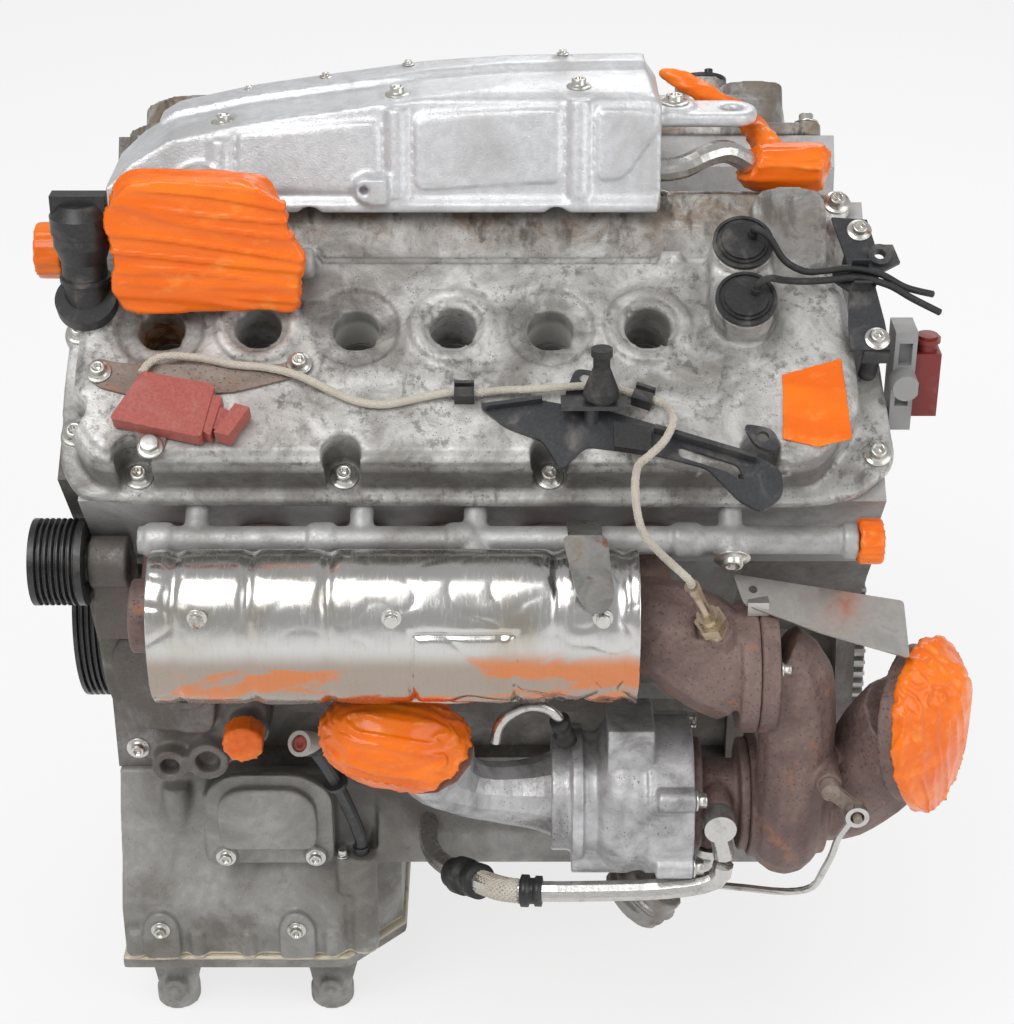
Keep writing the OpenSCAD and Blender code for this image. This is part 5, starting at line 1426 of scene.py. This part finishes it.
# ---------------------------------------------------------------- tubes and leads
class TubeTree(NodeTree):
    """The tree that runs a tube along a line and, on a braided one, winds strands round it.

    Spacing and weave are in metres; core, wound and thread are shares of the tube's radius.
    """

    SPACING, WEAVE, WEAVES_PER_TURN = 0.0016, 0.00022, 8.0
    CORE, WOUND, THREAD = 0.84, 0.86, 0.17
    TUBE_SIDES, THREAD_SIDES = 12, 4

    def __init__(self, shop: Shop, slot: str, braided: bool = False) -> None:
        """Makes the tree, with Radius, Strands and Turns as inputs.

        Args:
            shop: Where its material comes from and its pieces hang.
            slot: The tube's slot.
            braided: Whether strands are wound.
        """
        super().__init__(
            slot + "_tube",
            Radius=("NodeSocketFloat", 0.002),
            Strands=("NodeSocketInt", 16),
            Turns=("NodeSocketFloat", 50.0),
        )
        self.shop, self.slot = shop, slot
        line = self.add("GeometryNodeMeshToCurve", {0: self.given("Geometry")})
        spaced = {"Curve": line, "Length": self.SPACING}
        line = self.add("GeometryNodeResampleCurve", spaced, mode="LENGTH")
        parts = [self.sweep(line, self.TUBE_SIDES, self.CORE if braided else 1.0, True)]
        if braided:
            parts.append(self.strands(line))
        self.finish(self.add("GeometryNodeJoinGeometry", {0: parts}), shop.material(slot))

    def sweep(
        self, line: bpy.types.NodeSocket, sides: int, share: float, caps: bool = False
    ) -> bpy.types.NodeSocket:
        """Sweeps a ring along a line.

        Args:
            line: The line.
            sides: Sides of the ring.
            share: Its radius, as a share of the tube's.
            caps: Whether the ends are closed.

        Returns:
            The swept surface.
        """
        radius = self.sum("MULTIPLY", self.given("Radius"), share)
        ring = {"Resolution": sides, "Radius": radius}
        ring = self.add("GeometryNodeCurvePrimitiveCircle", ring)
        inputs = {"Curve": line, "Profile Curve": ring, "Fill Caps": caps}
        return self.add("GeometryNodeCurveToMesh", inputs)

    def strands(self, line: bpy.types.NodeSocket) -> bpy.types.NodeSocket:
        """Winds strands round a line, every other one the other way, over and under.

        Args:
            line: The line.

        Returns:
            The strands.
        """
        count = self.given("Strands")
        inputs = {"Geometry": line, "Amount": count}
        copies = self.add("GeometryNodeDuplicateElements", inputs, domain="SPLINE").node
        index = copies.outputs["Duplicate Index"]
        hand = self.sum("MULTIPLY", self.sum("MODULO", index, 2.0), 2.0)
        hand = self.sum("SUBTRACT", hand, 1.0)
        run = self.add("GeometryNodeSplineParameter", out="Length")
        wound = self.sum("MULTIPLY", self.sum("MULTIPLY", hand, self.given("Turns")), run)
        wound = self.sum("ADD", wound, self.sum("DIVIDE", index, count))
        turn = self.sum("MULTIPLY", wound, 2 * math.pi)
        across = self.add("GeometryNodeInputNormal")
        other = self.vector("CROSS_PRODUCT", self.add("GeometryNodeInputTangent"), across)
        weave = self.sum("SINE", self.sum("MULTIPLY", turn, self.WEAVES_PER_TURN))
        weave = self.sum("MULTIPLY", weave, hand)
        reach = self.sum("MULTIPLY", self.given("Radius"), self.WOUND)
        reach = self.sum("ADD", reach, self.sum("MULTIPLY", weave, self.WEAVE))
        across = self.vector("SCALE", across, self.sum("COSINE", turn))
        other = self.vector("SCALE", other, self.sum("SINE", turn))
        aside = self.vector("SCALE", self.vector("ADD", across, other), reach)
        moved = {"Geometry": copies.outputs["Geometry"], "Offset": aside}
        line = self.add("GeometryNodeSetPosition", moved)
        return self.sweep(line, self.THREAD_SIDES, self.THREAD)

    def hang(
        self, name: str, points: Sequence[Vector], nodes: Sequence[str] = (), **sizes: Any
    ) -> None:
        """Runs a tube through points and hangs it on the engine.

        Args:
            name: The piece's name.
            points: Its way, in metres.
            nodes: The CAD nodes that it stands for.
            sizes: Values of the tree's inputs.
        """
        path = smooth_path(points)
        edges = [(i, i + 1) for i in range(len(path) - 1)]
        mesh = self.run(new_mesh("line", path, edges=edges), **sizes)
        self.shop.hang(name, mesh, self.slot, nodes=nodes)


@dataclass
class Leads:
    """The braided probe lead and the two rubber leads of the adjuster valves."""

    radius: float = 0.0026
    strands: int = 16
    turns_per_metre: float = 55.0
    valve_radius: float = 0.0024
    base: Point = (-122.0, -323.0, 162.0)
    aim: Point = (-0.34, -0.42, 0.83)
    probe_length: float = 62.0
    above_probe: tuple[float, ...] = (9.0, 0.4)
    over_cover: tuple[Point, ...] = (
        (-500.6, -16.2, 9.6), (-496, -7, 7.6), (-486, -1, 5.8), (-464, -2, 5.4), (-442, -7, 5.4),
        (-420, -9.5, 5.8), (-398, -16, 6.6), (-375, -27, 4.6), (-358, -34, 3.6), (-340, -36, 3.6),
        (-318, -31, 3.6), (-300, -28, 5.0), (-278, -28, 5.0), (-262, -27, 6.6), (-245, -27, 7.6),
        (-212, -24, 6.6), (-196, -24, 5.6), (-181, -27.7, 5.0), (-163, -34.3, 5.0),
        (-156, -44, 11.6), (-154, -56, 16.6), (-160, -70, 17.6), (-170, -80, 15.6),
    )
    down: tuple[Point, ...] = (
        (-178, -318, 283), (-180, -335, 272), (-176, -343, 252), (-166, -345, 238),
    )
    valve_runs: tuple[tuple[Point, ...], ...] = (
        (
            (-97, 81, 30), (-96, 80, 34), (-87, 75, 32), (-76, 66, 18), (-62, 61, 12),
            (-48, 62, 11), (-30, 64, 11), (-11, 60, 10), (6, 52, 6),
        ),
        (
            (-97, 37, 30), (-96, 38, 34), (-88, 43, 32), (-76, 50, 18), (-62, 53, 12),
            (-48, 55, 10), (-26, 57, 10), (-6, 52, 9), (10, 44, 5),
        ),
    )
    valve_ends: tuple[Point, ...] = ((26, -186, 347), (30, -196, 338))

    def build(self, shop: Shop) -> None:
        """Builds the three leads.

        Args:
            shop: Where the leads are hung.
        """
        aim = Vector(self.aim).normalized()
        end = Vector(self.base) + aim * self.probe_length
        points = [from_bank(x, y, TOP_Z + z) for x, y, z in self.over_cover]
        points += [Vector(p) * MM for p in self.down]
        points += [(end + aim * high) * MM for high in self.above_probe]
        TubeTree(shop, "lead_braid", True).hang(
            "probe_lead_braid", points, ["probe_lead"],
            Radius=self.radius, Strands=self.strands, Turns=self.turns_per_metre,
        )
        plain = TubeTree(shop, "black_rubber")
        for i, (run, last) in enumerate(zip(self.valve_runs, self.valve_ends)):
            points = [from_bank(x, y, TOP_Z + z) for x, y, z in run] + [Vector(last) * MM]
            plain.hang(f"valve_lead_{i + 1}", points, ["valve_leads"], Radius=self.valve_radius)


# ---------------------------------------------------------------- heat shields
@dataclass
class HeatShield:
    """A thin bright sheet with rolled beads, a pressed window, creases and dents."""

    side: Side
    x0: float = -494.0
    x1: float = -175.0
    thick: float = 1.2
    highest: float = 5.0
    profile: Steps = (
        (-304, 216), (-318, 217), (-334, 212), (-347, 198), (-354, 180),
        (-356, 162), (-354, 144), (-347, 128), (-336, 116),
    )
    beads: tuple[float, ...] = (17.0, 66.0, 117.0, 265.0, 310.0)
    bead_high: float = 2.0
    bead_wide: float = 4.2
    window: tuple[float, float] = (172.0, 238.0)
    window_rows: tuple[float, float] = (0.5, 0.97)
    window_scale: float = 150.0
    window_above: float = 0.42
    window_rim: float = 2.2
    window_deep: float = 0.8
    crushed: tuple[tuple[float, float, float, int], ...] = (
        (290, 34, 1.5, 2), (205, 52, 0.9, 1), (0, 20, 0.5, 0),
    )
    ragged: float = 2.4
    ragged_from: float = 0.9
    end_wave: float = 1.6
    columns: int = 290
    rows: int = 100

    def line(self) -> list[tuple[Vector, Vector]]:
        """Places and outward directions down the profile, evenly spaced."""
        path = smooth_path([Vector((0, y, z)) for y, z in self.profile], 24)
        run = [0.0]
        for a, b in zip(path, path[1:]):
            run.append(run[-1] + (b - a).length)
        last, made = len(path) - 1, []
        for k in range(self.rows + 1):
            want = run[-1] * k / self.rows
            i = min(max(int(np.searchsorted(run, want)) - 1, 0), last - 1)
            t = (want - run[i]) / max(run[i + 1] - run[i], 1e-9)
            ahead = (path[min(i + 2, last)] - path[max(i - 1, 0)]).normalized()
            made.append((path[i].lerp(path[i + 1], t), Vector((0, -ahead.z, ahead.y))))
        return made

    def lift(self, u: float, v: float, seed: float) -> float:
        """How far the sheet stands proud, in millimetres.

        Args:
            u: Place along the sheet, in millimetres from its front end.
            v: Place down the profile, from 0 to 1.
            seed: Offset of the noise.

        Returns:
            The lift.
        """
        high = 0.0
        for bead in self.beads:
            high += self.bead_high * math.exp(-(((u - bead) / self.bead_wide) ** 2))
        (a, b), (top, low), scale = self.window, self.window_rows, self.window_scale
        if v > self.window_above:
            edge = min(u - a, b - u, (v - top) * scale, (low - v) * scale)
            high += self.bead_high * math.exp(-((edge / self.window_rim) ** 2))
            high -= self.window_deep if edge > 0 else 0.0
        fold = noise.noise(Vector((u * 0.02, v * 3.2, seed)))
        crease = 1.0 - abs(noise.noise(Vector((u * 0.035 + 7, v * 5.5, seed + 3)))) * 2.4
        dent = noise.noise(Vector((u * 0.07, v * 10.0, seed + 9)))
        crush = 0.1
        for at, wide, deep, power in self.crushed:
            crush += deep * math.exp(-(((u - at) / wide) ** 2)) * v**power
        return high + crush * (fold * 1.3 + max(crease, 0.0) ** 3 * 1.5 + dent * 0.7)

    def mesh(self) -> bpy.types.Mesh:
        """Builds the sheet with its thickness."""
        line, left = self.line(), self.side is Side.LEFT
        seed = 2.0 if left else 31.0
        verts = []
        for i in range(self.columns + 1):
            u = (self.x1 - self.x0) * i / self.columns
            ragged = self.ragged * noise.noise(Vector((u * 0.03, 0.0, seed + 20)))
            for k, (at, out) in enumerate(line):
                v = k / self.rows
                p = at + out * min(self.lift(u, v, seed), self.highest)
                if v > self.ragged_from:
                    p += Vector((0, -5, 8)) * ragged * (v - self.ragged_from)
                p.x = self.x0 + u
                if 0 < i < self.columns:
                    p.x += self.end_wave * noise.noise(Vector((v * 7, seed, u * 0.01)))
                verts.append(self.side.place(p) * MM)
        faces = quads(self.columns + 1, self.rows + 1)
        source = new_object("sheet_source", new_mesh("sheet", verts, faces))
        wall = source.modifiers.new("wall", "SOLIDIFY")
        wall.thickness, wall.offset = self.thick * MM, -1.0 if left else 1.0
        mesh = baked(source)
        drop(source)
        bm = bmesh.new()
        bm.from_mesh(mesh)
        bmesh.ops.recalc_face_normals(bm, faces=bm.faces)
        bm.to_mesh(mesh)
        bm.free()
        return smooth_shaded(mesh)

    def build(self, shop: Shop) -> None:
        """Hangs the shield in place of its solid."""
        node = "heat_shield_" + self.side.word
        shop.hang(node + "_sheet", self.mesh(), "shield_steel", nodes=[node])


# ---------------------------------------------------------------- brackets and pipe fittings
@dataclass
class Brackets:
    """The plates on the left cam cover: one bare and browned, one dull, the rest black."""

    brown_before: float = -0.38
    tab_below: float = 0.26

    def slot(self, at: Vector) -> str:
        """The finish of the plate at a place.

        Args:
            at: The middle of the plate.

        Returns:
            The slot.
        """
        if at.x < self.brown_before:
            return "lever_steel"
        return "canister_steel" if at.z < self.tab_below else "bracket_black"

    def build(self, shop: Shop) -> None:
        """Hangs each plate with its finish.

        Args:
            shop: Where the plates are hung.
        """
        for i, mesh in enumerate(islands("cover_brackets")):
            name, slot = f"cover_plate_{i + 1}", self.slot(centre_of(mesh))
            shop.hang(name, mesh, slot, nodes=["cover_brackets"])


@dataclass(frozen=True)
class Fitting:
    """One turned fitting: its profile, place and direction, in millimetres."""

    name: str
    slot: str
    at: Point
    axis: Point
    profile: Steps

    def hang(self, shop: Shop, side: Side, name: str) -> None:
        """Hangs the fitting on a side."""
        at, axis = side.place(Vector(self.at)) * MM, side.place(Vector(self.axis))
        shop.hang(name, smooth_shaded(turned(self.profile, at, axis)), self.slot)


@dataclass
class Fittings:
    """Fittings of the turbochargers' oil pipes, their vent hoses and the dipstick's plug."""

    braid_run: tuple[Point, ...] = (
        (-252, -325.4, -47), (-263, -322, -48), (-272, -314.6, -50.6), (-280, -306.4, -53.4),
    )
    hose_run: tuple[Point, ...] = (
        (-269, -300, 62), (-266, -301, 76), (-258, -303, 87), (-246, -303, 93),
        (-233, -302, 90), (-225, -300, 80), (-222, -298, 68),
    )
    pieces: tuple[Fitting, ...] = (
        Fitting(
            "oil_pipe_nut", "black_plastic", (-236, -327, -46), (-1, 0.12, -0.05),
            (
                (8.2, 0.0), (10.8, 0.6), (10.8, 5.0), (9.2, 5.8),
                (9.2, 9.0), (11.4, 9.8), (11.4, 15.0), (8.6, 16.0),
            ),
        ),
        Fitting(
            "oil_pipe_socket", "black_rubber", (-279, -307.4, -53), (-0.62, 0.72, -0.3),
            (
                (9.2, 0.0), (12.8, 1.0), (12.8, 9.0), (10.6, 10.0), (10.6, 16.0),
                (13.6, 17.0), (13.6, 26.0), (11.0, 27.5), (11.0, 34.0), (8.4, 35.0),
            ),
        ),
        Fitting(
            "hose_end", "black_rubber", (-225.4, -300.2, 81), (0.25, 0.16, -0.95),
            (
                (4.6, 0.0), (7.0, 0.8), (7.0, 7.0), (6.0, 7.6),
                (6.0, 14.0), (7.6, 14.8), (7.6, 22.0), (5.0, 23.0),
            ),
        ),
    )
    braid: tuple[float, int, float] = (0.0086, 28, 24.0)
    hose_radius: float = 0.004
    plug: Fitting = Fitting(
        "dipstick_plug", "module_red", (-409.6, -234.7, 16.1), (-0.4015, -0.7527, 0.5219),
        ((5.9, 0.0), (5.9, 2.4), (5.2, 3.4), (2.6, 3.7), (2.4, 2.6), (0.6, 2.5)),
    )

    def build(self, shop: Shop) -> None:
        """Builds both sides.

        Args:
            shop: Where the fittings are hung.
        """
        braid, plain = TubeTree(shop, "lead_braid", True), TubeTree(shop, "tube_steel")
        radius, strands, turns = self.braid
        for side in Side:
            for piece in self.pieces:
                piece.hang(shop, side, f"{piece.name}_{side.word}")
            path = [side.place(Vector(p)) * MM for p in self.braid_run]
            name = "oil_pipe_braid_" + side.word
            braid.hang(name, path, Radius=radius, Strands=strands, Turns=turns)
            path = [side.place(Vector(p)) * MM for p in self.hose_run]
            plain.hang("vent_hose_" + side.word, path, Radius=self.hose_radius)
        self.plug.hang(shop, Side.LEFT, self.plug.name)


# ---------------------------------------------------------------- tape
@dataclass
class TapeWrap:
    """One wrapped port: where its solid is and how its folds run, in millimetres."""

    name: str
    near: Vector
    along: Point
    depth: float = 1.6
    pitch: float = 9.0
    slack: float = 1.5


@dataclass
class Tapes:
    """The taped ports, with the folds that stretched tape takes."""

    grid: float = 1.6
    flat_grid: float = 0.8
    passes: int = 6
    seed_step: float = 5.3
    stretch: float = 0.93
    fine: float = 0.2

    def wraps(self) -> list[TapeWrap]:
        """The wraps of both sides."""
        made = [
            TapeWrap("tape_throttle", Vector((-470, -205, 392)), (1, 0, -0.12), 2.6, 10, 3),
            TapeWrap("tape_coolant_outlet", Vector((-602, -20, 314)), BACK, 1.2, 7),
            TapeWrap("tape_rear_pipe", Vector((-90, -70, 415)), BACK, 2, 9, 2),
            TapeWrap("tape_cover", from_bank(-58, -30, 396) / MM, (0.15, 0.8, 0.6), 0.5, 9, 0),
            TapeWrap("tape_bracket", Vector((-449, -252, 32)), (0, 1, 0), 1.6, 6),
        ]
        rail = from_bank(-20, -105, 337) / MM
        for side in Side:
            tilt = tuple(side.place(Vector((0.1, 0.4, -0.9))))
            outlet, inlet = Vector((30, -308, 82)), Vector((-347, -305, 62))
            made += [
                TapeWrap("tape_rail_" + side.word, side.place(rail), BACK, 1.4, 6),
                TapeWrap("tape_outlet_" + side.word, side.place(outlet), tilt, 2.2, 9, 2),
                TapeWrap("tape_inlet_" + side.word, side.place(inlet), (1, 0, -0.2), 2.4, 9, 3),
            ]
        return made

    def fold(self, wrap: TapeWrap, at: Vector, seed: float) -> float:
        """Height of the folds at a place, all in millimetres.

        Args:
            wrap: The wrap.
            at: The place.
            seed: Offset of the noise.

        Returns:
            The height.
        """
        along = Vector(wrap.along).normalized()
        flat = at - along * (self.stretch * along.dot(at))
        low = noise.noise(flat * (0.22 / wrap.pitch) + Vector((seed, 0, 0)))
        ridge = 1.0 - abs(noise.noise(flat / wrap.pitch + Vector((low, seed, low)))) * 2.2
        fine = noise.noise(flat * (2.6 / wrap.pitch) + Vector((0, 0, seed)))
        return wrap.slack * low + wrap.depth * (max(ridge, 0.0) ** 2 - 0.35) + self.fine * fine

    def build(self, shop: Shop) -> None:
        """Builds each wrap from its solid.

        Args:
            shop: Where the wraps are hung.
        """
        wraps = self.wraps()
        for i, raw in enumerate(islands("port_tape")):
            centre = centre_of(raw) / MM
            wrap = min(wraps, key=lambda w: (w.near - centre).length)
            wraps.remove(wrap)
            grid = self.grid if wrap.slack else self.flat_grid
            mesh = remade(raw, grid, self.passes)
            for vert in mesh.vertices:
                height = self.fold(wrap, vert.co / MM, i * self.seed_step)
                vert.co += vert.normal * (height * MM)
            shop.hang(wrap.name, smooth_shaded(mesh), "tape_orange", nodes=["port_tape"])


# ---------------------------------------------------------------- stage
@dataclass
class Stage:
    """Floor, lamps and camera."""

    camera_at: Point = (-0.2610, -1.5641, 0.9133)
    camera_pitch: float = 62.0
    lens: float = 77.27
    paper: float = 0.9
    paper_glow: float = 0.75
    sky: float = 0.45
    lamps: tuple[tuple[str, Point, float, float], ...] = (
        ("key", (-1.3, -1.7, 2.4), 1.8, 46.0),
        ("fill", (1.6, -1.4, 1.2), 1.6, 17.0),
        ("back", (0.2, 2.0, 2.2), 1.6, 22.0),
    )
    lit: Point = (-0.27, 0.0, 0.1)

    def build(self) -> None:
        """Builds the stage."""
        self.floor()
        self.world()
        for lamp in self.lamps:
            self.lamp(*lamp)
        self.camera()
        bpy.context.scene.view_settings.view_transform = "Standard"

    def floor(self) -> None:
        """Lays a plain pale floor under the feet."""
        low, far = CAD_BOX[0][2] - MM, 30
        corners = [(-far, -far, low), (far, -far, low), (far, far, low), (-far, far, low)]
        mesh = new_mesh("floor", corners, [(0, 1, 2, 3)])
        floor = new_object("floor", mesh)
        g = Graph("floor_paper")
        ray = g.node("ShaderNodeLightPath", out="Is Camera Ray")
        gloss = g.node("ShaderNodeLightPath", out="Is Glossy Ray")
        glow = g.node("ShaderNodeEmission", {}, {"Color": (1.0, 1.0, 1.0), "Strength": 1.0})
        g.shade(base_color=(self.paper,) * 3, roughness=0.9)
        paper = Wire(g, g.shader.outputs[0])
        inputs = {0: (ray + gloss).least(1.0) * self.paper_glow, 1: paper, 2: glow}
        blend = g.node("ShaderNodeMixShader", {}, inputs)
        out = next(n for n in g.tree.nodes if n.type == "OUTPUT_MATERIAL")
        g.set(out.inputs[0], blend)
        mesh.materials.append(g.material)

    def world(self) -> None:
        """Surrounds the engine with soft light; the camera sees plain white."""
        world = bpy.data.worlds.new("studio")
        bpy.context.scene.world = world
        world.use_nodes = True
        nodes, links = world.node_tree.nodes, world.node_tree.links
        back = next(n for n in nodes if n.type == "BACKGROUND")
        path = nodes.new("ShaderNodeLightPath")
        level = nodes.new("ShaderNodeMapRange")
        links.new(path.outputs["Is Camera Ray"], level.inputs[0])
        level.inputs[3].default_value, level.inputs[4].default_value = self.sky, 1.0
        links.new(level.outputs[0], back.inputs[1])
        back.inputs[0].default_value = (1.0, 1.0, 1.0, 1.0)

    def lamp(self, name: str, at: Point, size: float, power: float) -> None:
        """Hangs a square soft lamp that faces the engine.

        Args:
            name: The lamp's name.
            at: Its place, in metres.
            size: Its side.
            power: Its power, in watts.
        """
        data = bpy.data.lights.new(name, "AREA")
        data.shape, data.size, data.energy = "SQUARE", size, power
        lamp = new_object(name, data)
        lamp.location = at
        facing = Vector(self.lit) - Vector(at)
        lamp.rotation_euler = facing.to_track_quat("-Z", "Y").to_euler()

    def camera(self) -> None:
        """Sets the camera at its viewing angle."""
        data = bpy.data.cameras.new("camera")
        data.sensor_width, data.lens, data.clip_end = 36.0, self.lens, 100.0
        data.dof.use_dof = False
        camera = new_object("camera", data)
        camera.location = self.camera_at
        camera.rotation_euler = (math.radians(self.camera_pitch), 0.0, 0.0)
        bpy.context.scene.camera = camera


def main() -> None:
    """Builds the engine's looks in order."""
    logging.basicConfig(level=logging.INFO, format="%(message)s")
    shop = Shop()
    shop.dress_nodes()
    shields = [HeatShield(side) for side in Side]
    for part in (Castings(), Bolts(), Leads(), *shields, Brackets(), Fittings(), Tapes()):
        part.build(shop)
    Stage().build()


if __name__ == "__main__":
    main()
